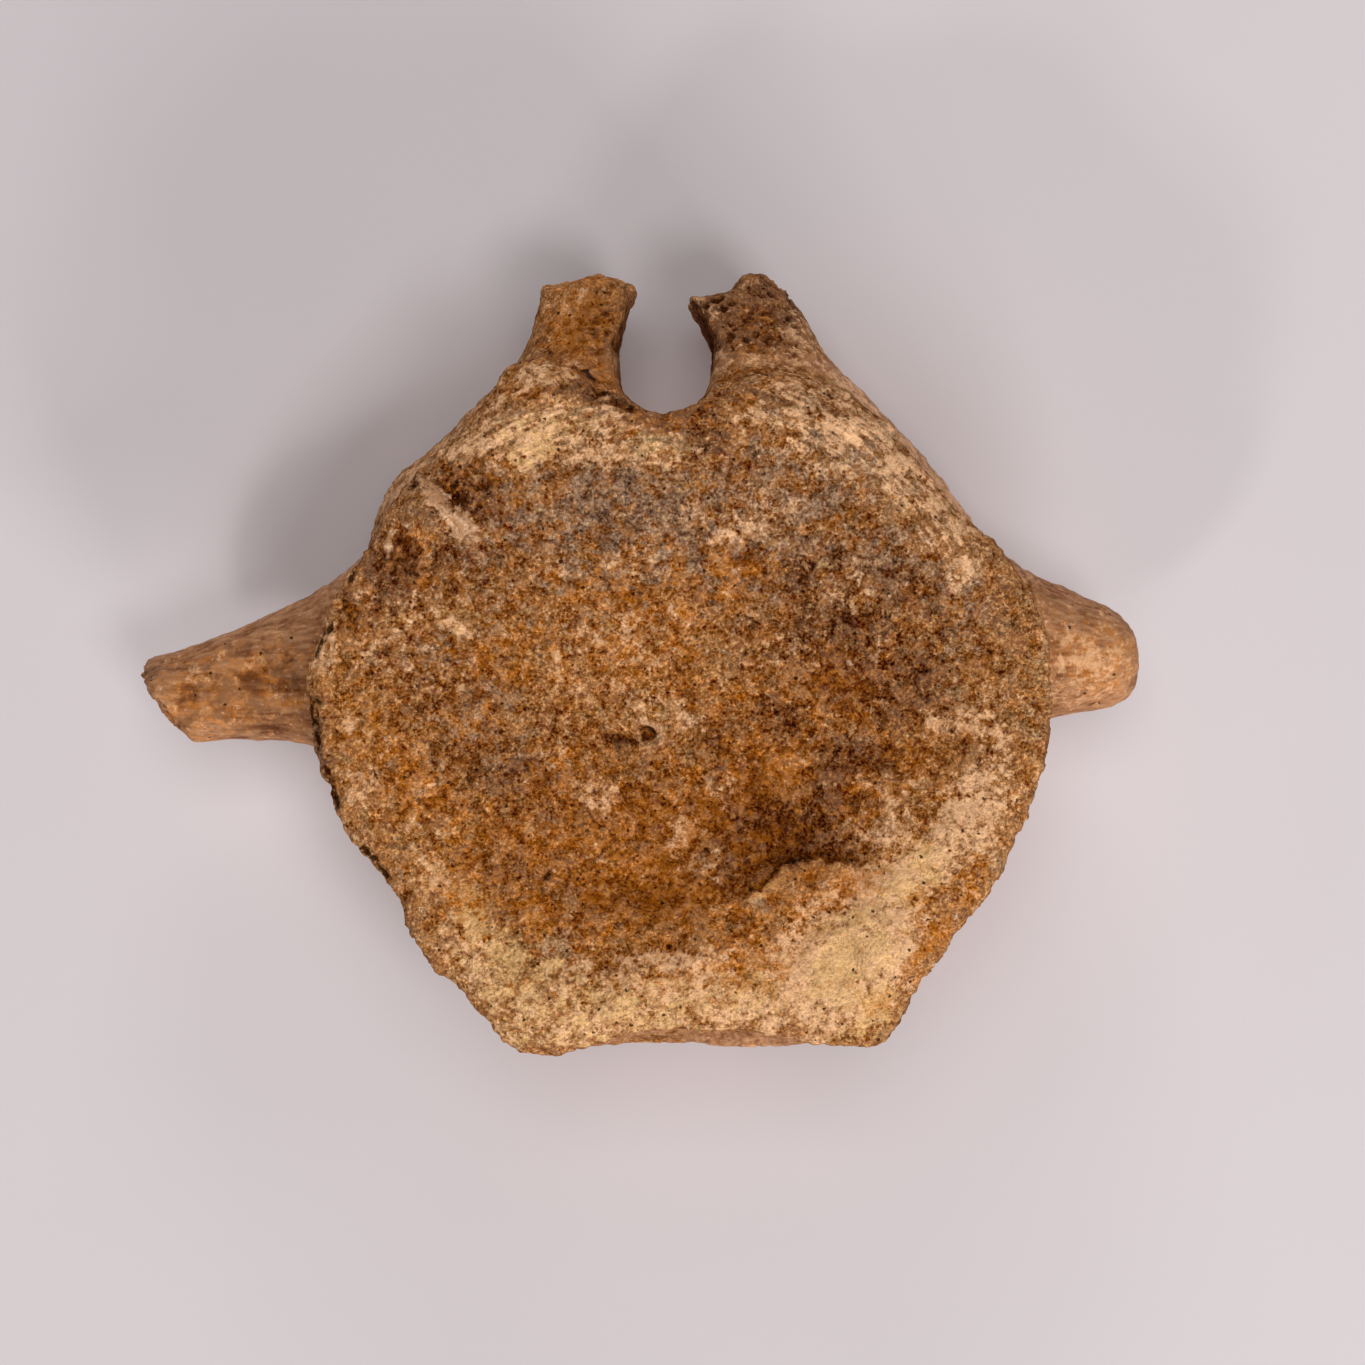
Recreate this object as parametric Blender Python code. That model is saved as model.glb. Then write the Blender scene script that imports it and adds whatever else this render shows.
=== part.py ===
"""A fossil tail vertebra of a duck-billed dinosaur, with the top of its neural arch broken away.

Metres, +Z up. The bone lies on the front face of its centrum, as on a table, so +Z is the animal's
rear, +Y is its back and X runs from side to side. The bone is one piece, so it is one object. It is
modelled about the centre line of the centrum and moved at the end, so that the origin is under the
middle of its bounding box, on the surface that it rests on.
"""

import math

import bmesh
import bpy
from mathutils import Vector, noise

# Driving dimensions
CENTRUM_LENGTH = 0.044
REAR_HOLLOW_DEPTH = 0.0060
FRONT_HOLLOW_DEPTH = 0.0050
REAR_HOLLOW_CENTRE = Vector((0.006, -0.011))
FRONT_HOLLOW_CENTRE = Vector((0.000, -0.005))
FLANK_WAIST = 0.0060
REAR_CROWN = 0.0003
FRONT_CROWN = 0.0012
FRONT_WAVE = 0.0003
WEAR_DEPTH = 0.0005
EDGE_ALLOWANCE = 0.0006

# The two lower corners of each rim: their angles about the hollow, and how far they spread
CHEVRON_ANGLES = (-2.14, -1.06)
CHEVRON_SPREAD = 0.20

# How finely the bone is made
OUTLINE_STEPS = 144
LIMB_SIDES = 48
SPLINE_STEPS = 12
FACE_RINGS = 22
FLANK_RINGS = 18
VOXEL = 0.0008
SMOOTHING_PASSES = 7
TRIANGLE_SHARE = 0.094

# The rim of the rear face, seen from the rear, anticlockwise from the right side of the canal
REAR_RIM = (
    (0.0032, 0.0328), (0.0102, 0.0340), (0.0148, 0.0331), (0.0208, 0.0300), (0.0245, 0.0257),
    (0.0307, 0.0188), (0.0362, 0.0128), (0.0386, 0.0090), (0.0401, 0.0045), (0.0406, 0.0000),
    (0.0398, -0.0085), (0.0386, -0.0129), (0.0371, -0.0168), (0.0327, -0.0245), (0.0268, -0.0322),
    (0.0241, -0.0372), (0.0222, -0.0393), (0.0203, -0.0402), (0.0168, -0.0398), (0.0124, -0.0393),
    (0.0085, -0.0385), (-0.0019, -0.0384), (-0.0067, -0.0391), (-0.0102, -0.0404),
    (-0.0146, -0.0413), (-0.0182, -0.0403), (-0.0243, -0.0344), (-0.0277, -0.0310),
    (-0.0298, -0.0274), (-0.0313, -0.0240), (-0.0366, -0.0168), (-0.0399, -0.0091),
    (-0.0413, -0.0019), (-0.0412, 0.0018), (-0.0381, 0.0093), (-0.0339, 0.0155),
    (-0.0322, 0.0192), (-0.0305, 0.0217), (-0.0241, 0.0280), (-0.0212, 0.0313),
    (-0.0193, 0.0347), (-0.0166, 0.0358), (-0.0133, 0.0355), (-0.0080, 0.0325),
)

# The rim of the front face, seen from the rear in the same way
FRONT_RIM = (
    (0.0060, 0.0335), (0.0155, 0.0360), (0.0207, 0.0347), (0.0252, 0.0316), (0.0318, 0.0242),
    (0.0348, 0.0195), (0.0388, 0.0105), (0.0410, 0.0015), (0.0402, -0.0080), (0.0365, -0.0190),
    (0.0310, -0.0290), (0.0255, -0.0378), (0.0215, -0.0420), (0.0155, -0.0436),
    (0.0090, -0.0444), (0.0000, -0.0439), (-0.0085, -0.0441), (-0.0155, -0.0435),
    (-0.0210, -0.0415), (-0.0255, -0.0365), (-0.0310, -0.0270), (-0.0368, -0.0165),
    (-0.0406, -0.0065), (-0.0412, 0.0025), (-0.0396, 0.0105), (-0.0369, 0.0205),
    (-0.0347, 0.0247), (-0.0285, 0.0300), (-0.0210, 0.0372), (-0.0140, 0.0372),
    (-0.0080, 0.0335),
)

# Where the transverse processes leave the flanks, and how far around it the join is rounded
ROOT_CENTRES = (Vector((-0.0355, 0.0025, 0.0200)), Vector((0.0355, 0.0040, 0.0200)))
ROOT_REACH = 0.0240
ROOT_PASSES = 40

# The open canal of the spinal cord, in X and Y, with its roof broken away
CANAL = (
    (-0.0024, 0.0294), (0.0010, 0.0306), (0.0026, 0.0326), (0.0034, 0.0350), (0.0036, 0.0374),
    (0.0030, 0.0400), (0.0019, 0.0421), (0.0007, 0.0440), (0.0002, 0.0480), (-0.0050, 0.0480),
    (-0.0057, 0.0453), (-0.0064, 0.0430), (-0.0070, 0.0405), (-0.0076, 0.0370),
    (-0.0072, 0.0340), (-0.0062, 0.0318), (-0.0044, 0.0301),
)

# How square the sections of the limbs are: 2 is an ellipse
PROCESS_SQUARENESS = 2.3
PEDICEL_SQUARENESS = 3.2

# Transverse processes: x of the section, then its lowest and highest y and z
LEFT_PROCESS = (
    (-0.0220, -0.0150, 0.0200, 0.0110, 0.0300),
    (-0.0310, -0.0175, 0.0195, 0.0045, 0.0370),
    (-0.0335, -0.0160, 0.0185, 0.0050, 0.0355),
    (-0.0352, -0.0132, 0.0164, 0.0062, 0.0334),
    (-0.0375, -0.0102, 0.0142, 0.0082, 0.0312),
    (-0.0410, -0.0080, 0.0116, 0.0100, 0.0296),
    (-0.0455, -0.0068, 0.0091, 0.0112, 0.0284),
    (-0.0510, -0.0067, 0.0064, 0.0119, 0.0277),
    (-0.0565, -0.0071, 0.0041, 0.0123, 0.0272),
    (-0.0660, -0.0075, 0.0012, 0.0127, 0.0268),
)
RIGHT_PROCESS = (
    (0.0220, -0.0130, 0.0210, 0.0110, 0.0300),
    (0.0310, -0.0150, 0.0195, 0.0045, 0.0370),
    (0.0335, -0.0135, 0.0185, 0.0050, 0.0355),
    (0.0352, -0.0106, 0.0168, 0.0062, 0.0334),
    (0.0375, -0.0076, 0.0149, 0.0080, 0.0314),
    (0.0410, -0.0048, 0.0125, 0.0097, 0.0300),
    (0.0455, -0.0036, 0.0103, 0.0110, 0.0289),
    (0.0492, -0.0031, 0.0088, 0.0118, 0.0281),
    (0.0515, -0.0020, 0.0076, 0.0132, 0.0268),
    (0.0525, -0.0002, 0.0054, 0.0155, 0.0246),
)

# Pedicels of the neural arch: y of the section, then its lowest and highest x and z
LEFT_PEDICEL = (
    (0.0150, -0.0225, -0.0020, 0.0100, 0.0340),
    (0.0240, -0.0258, -0.0020, 0.0030, 0.0400),
    (0.0310, -0.0240, -0.0020, 0.0040, 0.0375),
    (0.0350, -0.0205, -0.0025, 0.0062, 0.0345),
    (0.0385, -0.0178, -0.0030, 0.0080, 0.0315),
    (0.0420, -0.0170, -0.0035, 0.0092, 0.0292),
    (0.0500, -0.0160, -0.0035, 0.0098, 0.0280),
)
RIGHT_PEDICEL = (
    (0.0150, -0.0010, 0.0230, 0.0100, 0.0340),
    (0.0240, -0.0010, 0.0262, 0.0030, 0.0405),
    (0.0310, -0.0010, 0.0225, 0.0040, 0.0395),
    (0.0350, -0.0010, 0.0187, 0.0060, 0.0365),
    (0.0385, -0.0010, 0.0161, 0.0078, 0.0335),
    (0.0420, -0.0015, 0.0138, 0.0090, 0.0308),
    (0.0455, -0.0020, 0.0112, 0.0097, 0.0292),
    (0.0500, -0.0020, 0.0080, 0.0100, 0.0285),
)

# Breaks: the profile of the air past each broken end, in X and Y
LEFT_ARCH_BREAK = (
    (-0.0300, 0.0600), (-0.0300, 0.0452), (-0.0160, 0.0458), (-0.0144, 0.0456),
    (-0.0124, 0.0460), (-0.0106, 0.0464), (-0.0080, 0.0461), (-0.0059, 0.0463),
    (-0.0028, 0.0455), (-0.0028, 0.0600),
)
RIGHT_ARCH_BREAK = (
    (-0.0028, 0.0600), (-0.0028, 0.0430), (0.0008, 0.0442), (0.0020, 0.0441), (0.0034, 0.0440),
    (0.0050, 0.0444), (0.0062, 0.0448), (0.0065, 0.0468), (0.0078, 0.0472), (0.0094, 0.0469),
    (0.0108, 0.0461), (0.0240, 0.0440), (0.0240, 0.0600),
)
LEFT_TIP_BREAK = (
    (-0.0700, 0.0060), (-0.0633, 0.0030), (-0.0624, 0.0008), (-0.0607, -0.0018),
    (-0.0588, -0.0045), (-0.0568, -0.0066), (-0.0554, -0.0090), (-0.0700, -0.0120),
)
BREAK_REACH = (-0.010, 0.060)
TABLE_SIDE = 0.2

# Where the broken surfaces begin: y of the arch's and x of the left process's
ARCH_BREAK_START = 0.0430
TIP_BREAK_START = -0.0555
BREAK_FADE = 0.0015
BREAK_ROUGHNESS = 0.0008
BREAK_LUMP_SIZE = 0.0045

# Weathering of the whole skin: height, size of its lumps, seed
WEATHERING = ((0.00040, 0.0085, 3.0), (0.00022, 0.0030, 17.0))

# The ledge of harder crust on the rear face, and the knob in its middle
LEDGE_CENTRE = Vector((0.0135, -0.0318))
LEDGE_HALF_WIDTH = 0.0128
LEDGE_HALF_HEIGHT = 0.0112
LEDGE_TOP = -0.0020
LEDGE_RISER = 0.0008
LEDGE_WOBBLE = 0.0012
LEDGE_WOBBLE_SIZE = 0.0038
KNOB_CENTRE = Vector((-0.0040, -0.0052))
KNOB_RADIUS = 0.0024
KNOB_HEIGHT = 0.0008

# Dents and lumps on the rear face: centre, radius, height
REAR_FORMS = (
    (Vector((-0.0252, 0.0212)), 0.0030, -0.0013),
    (Vector((-0.0307, 0.0146)), 0.0027, -0.0014),
    (Vector((-0.0283, 0.0182)), 0.0024, 0.0008),
    (Vector((-0.0226, 0.0178)), 0.0030, 0.0008),
    (Vector((0.0100, -0.0175)), 0.0062, -0.0012),
    (Vector((-0.0065, -0.0065)), 0.0034, -0.0007),
    (Vector((0.0235, -0.0290)), 0.0055, 0.0008),
    (Vector((-0.0160, -0.0345)), 0.0050, 0.0006),
)

# Openings of blood vessels on the flanks and the underside: centre, radius, depth
FORAMINA = (
    (Vector((-0.0330, -0.0190, 0.0235)), 0.0017, 0.0016),
    (Vector((0.0340, -0.0150, 0.0215)), 0.0016, 0.0015),
    (Vector((0.0040, -0.0365, 0.0225)), 0.0019, 0.0018),
    (Vector((-0.0060, -0.0365, 0.0190)), 0.0015, 0.0014),
)

# The bone's fossil finish, as the pieces of a plain material
BONE_COLOUR = (0.33, 0.17, 0.075, 1.0)
BONE_ROUGHNESS = 0.9


def clear_scene():
    for thing in list(bpy.data.objects):
        bpy.data.objects.remove(thing)


def link(name, bm):
    """Turns a bmesh into an object of that name."""
    bmesh.ops.recalc_face_normals(bm, faces=bm.faces)
    mesh = bpy.data.meshes.new(name)
    bm.to_mesh(mesh)
    bm.free()
    body = bpy.data.objects.new(name, mesh)
    bpy.context.scene.collection.objects.link(body)
    return body


def smoothstep(value):
    share = min(1.0, max(0.0, value))
    return share * share * (3 - 2 * share)


def loft(name, rings):
    """A closed solid through rings of equally many points, with a fan over each end."""
    bm = bmesh.new()
    loops = [[bm.verts.new(point) for point in ring] for ring in rings]
    for near, far in zip(loops, loops[1:]):
        for i in range(len(near)):
            j = (i + 1) % len(near)
            bm.faces.new((near[i], near[j], far[j], far[i]))
    for loop in (loops[0], loops[-1]):
        tip = bm.verts.new(sum((vert.co for vert in loop), Vector()) / len(loop))
        for i in range(len(loop)):
            bm.faces.new((loop[i], loop[(i + 1) % len(loop)], tip))
    return link(name, bm)


def spline_through(corners, steps=SPLINE_STEPS):
    """Points on a closed Catmull-Rom curve through the corners."""
    points = []
    count = len(corners)
    for i in range(count):
        a, b, c, d = (Vector(corners[(i + k) % count]) for k in (-1, 0, 1, 2))
        for k in range(steps):
            t = k / steps
            points.append(
                0.5 * (2 * b + (c - a) * t + (2 * a - 5 * b + 4 * c - d) * t**2
                       + (3 * b - a - 3 * c + d) * t**3)
            )
    return points


def angle_of(i):
    return -math.pi + 2 * math.pi * i / OUTLINE_STEPS


def reach_by_angle(corners, centre):
    """How far the outline lies from the centre, at each of OUTLINE_STEPS even angles."""
    found = sorted(
        (math.atan2(point.y - centre.y, point.x - centre.x), (point - centre).length)
        for point in spline_through(corners)
    )
    first, last = found[0], found[-1]
    turn = 2 * math.pi
    found = [(last[0] - turn, last[1])] + found + [(first[0] + turn, first[1])]
    reaches = []
    k = 0
    for i in range(OUTLINE_STEPS):
        angle = angle_of(i)
        while found[k + 1][0] < angle:
            k += 1
        (low, near), (high, far) = found[k], found[k + 1]
        reaches.append(near + (far - near) * (angle - low) / (high - low))
    return reaches


def ring_at(centre, reaches, height):
    """A ring of points around the centre. height is a function of the angle's number."""
    ring = []
    for i, reach in enumerate(reaches):
        ring.append(
            Vector((
                centre.x + reach * math.cos(angle_of(i)),
                centre.y + reach * math.sin(angle_of(i)),
                height(i),
            ))
        )
    return ring


def chevron_corner(i):
    """1 at the two lower corners, where the chevron bone joined, and 0 away from them."""
    return sum(
        math.exp(-(((angle_of(i) - corner) / CHEVRON_SPREAD) ** 2)) for corner in CHEVRON_ANGLES
    )


def rim_band(i):
    """Width of the rounded band between the hollow and the rim. It is widest at top and bottom."""
    angle = angle_of(i)
    return 0.0060 + 0.0030 * math.sin(angle) ** 2 + 0.0020 * smoothstep(math.cos(angle + 0.75))


def face_height(share, i, reach, depth, crown, roll):
    """Height below the rim's crest at a share of the way from the hollow's centre to the rim."""
    edge = 1 - rim_band(i) / reach
    crest = (1 + edge) / 2
    hollow = (0.5 + 0.5 * math.cos(math.pi * min(1.0, share / crest))) ** 0.85
    off_crest = abs(share - crest) / (1 - crest)
    rounding = crown * min(1.0, off_crest) ** 2
    across = max(0.0, (share - edge) / (1 - edge))
    return -(depth - crown) * hollow - rounding - roll * across**3


def rear_roll(i):
    """How far the rim of the rear face rolls over at its edge."""
    beside_canal = smoothstep(2.2 * math.sin(angle_of(i)) - 1.0)
    return 0.0012 + 0.0026 * beside_canal + 0.0022 * chevron_corner(i)


def front_roll(i):
    return 0.0016 + 0.0014 * chevron_corner(i)


def front_wave(i):
    """How far the crest of the front rim lies above its three highest places."""
    turned = angle_of(i) + math.pi / 2
    return FRONT_WAVE * (1 - math.cos(3 * turned) + 0.3 * math.sin(7 * turned))


def flank_squeeze(i, share):
    """How far the waisted flank lies inside the straight line from rim to rim."""
    under_the_arch = smoothstep(1.8 * math.sin(angle_of(i)) - 0.6)
    waist = FLANK_WAIST * (1 - 0.6 * under_the_arch - 0.55 * chevron_corner(i))
    return waist * math.sin(math.pi * share) ** 1.1


def make_centrum():
    rear = [
        reach + EDGE_ALLOWANCE for reach in reach_by_angle(REAR_RIM, REAR_HOLLOW_CENTRE)
    ]
    front = reach_by_angle(FRONT_RIM, FRONT_HOLLOW_CENTRE)
    rings = []
    for k in range(1, FACE_RINGS + 1):
        share = k / FACE_RINGS
        rings.append(ring_at(
            REAR_HOLLOW_CENTRE, [share * reach for reach in rear],
            lambda i: CENTRUM_LENGTH
            + face_height(share, i, rear[i], REAR_HOLLOW_DEPTH, REAR_CROWN, rear_roll(i)),
        ))
    rear_edge = [point.z for point in rings[-1]]
    front_edge = [
        FRONT_CROWN + front_roll(i) + front_wave(i) for i in range(OUTLINE_STEPS)
    ]
    for k in range(1, FLANK_RINGS):
        share = k / FLANK_RINGS
        centre = REAR_HOLLOW_CENTRE.lerp(FRONT_HOLLOW_CENTRE, share)
        reaches = [
            rear[i] + (front[i] - rear[i]) * share - flank_squeeze(i, share)
            for i in range(OUTLINE_STEPS)
        ]
        rings.append(ring_at(
            centre, reaches, lambda i: rear_edge[i] + (front_edge[i] - rear_edge[i]) * share
        ))
    for k in range(FACE_RINGS, 0, -1):
        share = k / FACE_RINGS
        rings.append(ring_at(
            FRONT_HOLLOW_CENTRE, [share * reach for reach in front],
            lambda i: share * front_wave(i) - face_height(
                share, i, front[i], FRONT_HOLLOW_DEPTH, FRONT_CROWN, front_roll(i)
            ),
        ))
    return loft("vertebra", rings)


def make_limb(name, stations, along, squareness):
    """A tapering limb through stations: the place along X or Y, then the two spans across it."""
    rings = []
    for place, low, high, back, fore in stations:
        ring = []
        for i in range(LIMB_SIDES):
            angle = 2 * math.pi * i / LIMB_SIDES
            power = 2 / squareness
            across = math.copysign(abs(math.cos(angle)) ** power, math.cos(angle))
            upward = math.copysign(abs(math.sin(angle)) ** power, math.sin(angle))
            side = (low + high) / 2 + across * (high - low) / 2
            height = (back + fore) / 2 + upward * (fore - back) / 2
            ring.append(Vector((place, side, height) if along == "X" else (side, place, height)))
        rings.append(ring)
    return loft(name, rings)


def make_prism(name, profile):
    """A cutter: the profile in X and Y, carried along Z past the whole bone."""
    rings = [[Vector((x, y, height)) for x, y in profile] for height in BREAK_REACH]
    bm = bmesh.new()
    low, high = ([bm.verts.new(point) for point in ring] for ring in rings)
    bm.faces.new(low)
    bm.faces.new(high)
    for i in range(len(low)):
        j = (i + 1) % len(low)
        bm.faces.new((low[i], low[j], high[j], high[i]))
    return link(name, bm)


def combine(body, other, operation):
    modifier = body.modifiers.new(other.name, "BOOLEAN")
    modifier.operation = operation
    modifier.object = other
    other.hide_render = True
    other.display_type = "WIRE"


def settle(body):
    """Replaces the body's mesh by what its modifiers make of it."""
    graph = bpy.context.evaluated_depsgraph_get()
    mesh = bpy.data.meshes.new_from_object(body.evaluated_get(graph))
    body.modifiers.clear()
    body.data = mesh


def soften(body):
    """Makes one even skin and rounds the joins between the pieces."""
    remesh = body.modifiers.new("even_skin", "REMESH")
    remesh.mode = "VOXEL"
    remesh.voxel_size = VOXEL
    smooth = body.modifiers.new("rounded_joins", "SMOOTH")
    smooth.factor = 0.5
    smooth.iterations = SMOOTHING_PASSES


def round_roots(body):
    """Blends the transverse processes into the flanks, most at the middle of the join."""
    near = body.vertex_groups.new(name="process_roots")
    for vert in body.data.vertices:
        away = min((vert.co - centre).length for centre in ROOT_CENTRES)
        weight = smoothstep(1.5 * (1 - away / ROOT_REACH))
        if weight > 0:
            near.add([vert.index], weight, "REPLACE")
    smooth = body.modifiers.new("rounded_roots", "SMOOTH")
    smooth.factor = 0.5
    smooth.iterations = ROOT_PASSES
    smooth.vertex_group = near.name


def rear_relief(point):
    """Height that the forms of the rear face add at a point, in metres."""
    place = point.xy
    added = sum(
        height * math.exp(-(((place - centre).length / radius) ** 2))
        for centre, radius, height in REAR_FORMS
    )
    around = (place - KNOB_CENTRE).length / KNOB_RADIUS
    added += KNOB_HEIGHT * (1.6 * around**2 - 0.6) * math.exp(-(around**2))
    wobble = LEDGE_WOBBLE * noise.noise(Vector((place.x, place.y, 0.0)) / LEDGE_WOBBLE_SIZE)
    off = place - LEDGE_CENTRE
    outward = math.hypot(off.x / LEDGE_HALF_WIDTH, off.y / LEDGE_HALF_HEIGHT)
    inside = (1 - outward) * LEDGE_HALF_HEIGHT + wobble
    rise = CENTRUM_LENGTH + LEDGE_TOP - point.z
    if rise > 0:
        added += rise * smoothstep(inside / LEDGE_RISER + 0.5)
    return added


def roughness(point, size, seed):
    return noise.fractal(point / size + Vector((seed, 0, 0)), 0.8, 2.1, 3)


def carve(body):
    """Adds the forms that are too small for the loft: relief, vessel openings and weathering."""
    mesh = body.data
    moves = []
    for vert in mesh.vertices:
        point, normal = vert.co, vert.normal
        move = normal * sum(
            height * roughness(point, size, seed) for height, size, seed in WEATHERING
        )
        past_break = max(point.y - ARCH_BREAK_START, TIP_BREAK_START - point.x) / BREAK_FADE
        move += normal * BREAK_ROUGHNESS * smoothstep(past_break) * roughness(point, BREAK_LUMP_SIZE, 29.0)
        if normal.z > 0.2 and point.z > 0.75 * CENTRUM_LENGTH:
            move += Vector((0, 0, rear_relief(point)))
        for centre, radius, depth in FORAMINA:
            away = (point - centre).length / radius
            if away < 3.0 and abs(normal.z) < 0.7:
                move -= normal * depth * math.exp(-(away**2))
        moves.append(move)
    for vert, move in zip(mesh.vertices, moves):
        vert.co += move


def make_table():
    """The surface that has worn the front rim flat, as a cutter."""
    bm = bmesh.new()
    bmesh.ops.create_cube(bm, size=TABLE_SIDE)
    bmesh.ops.translate(bm, verts=bm.verts, vec=(0, 0, WEAR_DEPTH - TABLE_SIDE / 2))
    return link("wear_cutter", bm)


def centre_over_origin(body):
    """Puts the middle of the bounding box over the origin, and the worn rim on the XY plane."""
    points = [vert.co for vert in body.data.vertices]
    low = Vector([min(point[k] for point in points) for k in range(3)])
    high = Vector([max(point[k] for point in points) for k in range(3)])
    middle = (low + high) / 2
    shift = Vector((-middle.x, -middle.y, -low.z))
    for vert in body.data.vertices:
        vert.co += shift


def fossil_bone():
    material = bpy.data.materials.new("fossil_bone")
    material.use_nodes = True
    shader = material.node_tree.nodes["Principled BSDF"]
    shader.inputs["Base Color"].default_value = BONE_COLOUR
    shader.inputs["Roughness"].default_value = BONE_ROUGHNESS
    shader.inputs["Metallic"].default_value = 0.0
    return material


def main():
    clear_scene()
    bone = make_centrum()
    for name, stations, along, squareness in (
        ("left_process", LEFT_PROCESS, "X", PROCESS_SQUARENESS),
        ("right_process", RIGHT_PROCESS, "X", PROCESS_SQUARENESS),
        ("left_pedicel", LEFT_PEDICEL, "Y", PEDICEL_SQUARENESS),
        ("right_pedicel", RIGHT_PEDICEL, "Y", PEDICEL_SQUARENESS),
    ):
        combine(bone, make_limb(name, stations, along, squareness), "UNION")
    for name, profile in (
        ("canal", spline_through(CANAL)),
        ("left_arch_break", LEFT_ARCH_BREAK),
        ("right_arch_break", RIGHT_ARCH_BREAK),
        ("left_tip_break", LEFT_TIP_BREAK),
    ):
        combine(bone, make_prism(name, profile), "DIFFERENCE")
    soften(bone)
    settle(bone)
    round_roots(bone)
    settle(bone)
    carve(bone)
    thin_out = bone.modifiers.new("fewer_facets", "DECIMATE")
    thin_out.ratio = TRIANGLE_SHARE
    combine(bone, make_table(), "DIFFERENCE")
    settle(bone)
    centre_over_origin(bone)
    bone.data.materials.clear()
    bone.data.materials.append(fossil_bone())
    bone.data.shade_smooth()


main()
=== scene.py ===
"""Looks of a fossil dinosaur tail vertebra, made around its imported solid.

The bone lies on the front face of its centrum, and the camera looks straight down on the rear face.
Sizes are in metres, and in millimetres where a name or a comment says so. Places on the bone are in
millimetres in the solid's own frame: X to one side, Y to the animal's back, Z to its rear.
"""

import math

import bpy
import numpy as np
from bpy.props import FloatProperty, FloatVectorProperty, IntProperty, PointerProperty
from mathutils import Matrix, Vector, noise


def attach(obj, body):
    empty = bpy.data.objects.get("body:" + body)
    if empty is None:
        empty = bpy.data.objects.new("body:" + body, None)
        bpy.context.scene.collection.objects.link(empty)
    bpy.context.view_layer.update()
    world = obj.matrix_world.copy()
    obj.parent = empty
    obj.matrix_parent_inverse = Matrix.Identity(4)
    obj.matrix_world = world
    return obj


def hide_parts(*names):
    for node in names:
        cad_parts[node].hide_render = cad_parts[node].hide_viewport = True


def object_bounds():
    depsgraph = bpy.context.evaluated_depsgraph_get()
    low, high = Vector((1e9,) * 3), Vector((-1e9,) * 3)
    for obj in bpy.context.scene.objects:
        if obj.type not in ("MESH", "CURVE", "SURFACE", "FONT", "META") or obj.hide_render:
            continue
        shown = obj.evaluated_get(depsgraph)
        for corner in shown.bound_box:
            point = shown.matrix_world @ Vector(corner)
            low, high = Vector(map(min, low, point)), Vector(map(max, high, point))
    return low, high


bl_info = {
    "name": "Fossil vertebra",
    "version": (1, 0, 0),
    "blender": (4, 5, 0),
    "location": "3D View > Sidebar > Fossil",
    "description": "A fossil dinosaur tail vertebra with a sandy crust, and a plain studio for it",
    "category": "Object",
}

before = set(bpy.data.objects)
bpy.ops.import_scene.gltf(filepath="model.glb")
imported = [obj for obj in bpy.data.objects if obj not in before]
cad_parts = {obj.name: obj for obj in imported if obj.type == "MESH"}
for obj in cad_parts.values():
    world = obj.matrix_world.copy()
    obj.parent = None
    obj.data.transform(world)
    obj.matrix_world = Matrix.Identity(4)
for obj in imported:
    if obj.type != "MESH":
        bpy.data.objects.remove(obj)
CAD_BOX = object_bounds()
SOLID = "vertebra"
PIECE = "fossil_bone"
MM = 0.001

# The photo's camera: its height over the rear rim, the width it takes in there, the point under its
# middle, which is the centre line of the centrum, and its sensor in millimetres
CAMERA_HEIGHT = 0.450
VIEW_WIDTH = 0.15015
VIEW_CENTRE = Vector((0.0050, -0.0018))
SENSOR_WIDTH = 36.0
SHEET_WIDTH = 6.0

# Heights of the solid in millimetres: its rear rim, and where its faces start to turn into flanks
REAR_RIM_Z = CAD_BOX[1].z / MM
REAR_FACE_Z = 0.77 * REAR_RIM_Z
FRONT_FACE_Z = 0.20 * REAR_RIM_Z

# Where the limbs start, in millimetres: x of the transverse processes and y of the arch's pedicels,
# and where the left process and the arch are broken off
LEFT_PROCESS_X = -35.0
RIGHT_PROCESS_X = 44.5
PEDICEL_Y = 34.0
LEFT_TIP_X = -52.0
ARCH_END_Y = 43.5

# Rounds of smoothing that take the solid's facets away, and what they take, in metres, at a place
# that is surely an edge and no facet
FACET_ROUNDS = 14
EDGE_LOSS = 0.00022

# Rounds of smoothing that leave a point's near and its wider surroundings, and the heights over
# them, in millimetres, that make a full painted highlight on a ridge or painted shade in a hollow
NEAR_ROUNDS = 7
NEAR_RELIEF = 0.10
WIDE_ROUNDS = 40
WIDE_RELIEF = 0.5

# How far down from the rear rim's crest, in millimetres, the face has no chips
WHOLE_CREST = 0.5

# Noise that makes outlines ragged: its reach and size in millimetres, and its seed
FORM_WARP = (0.55, 1.3, 31)
CRACK_WARP = (0.35, 1.2, 17)

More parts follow.
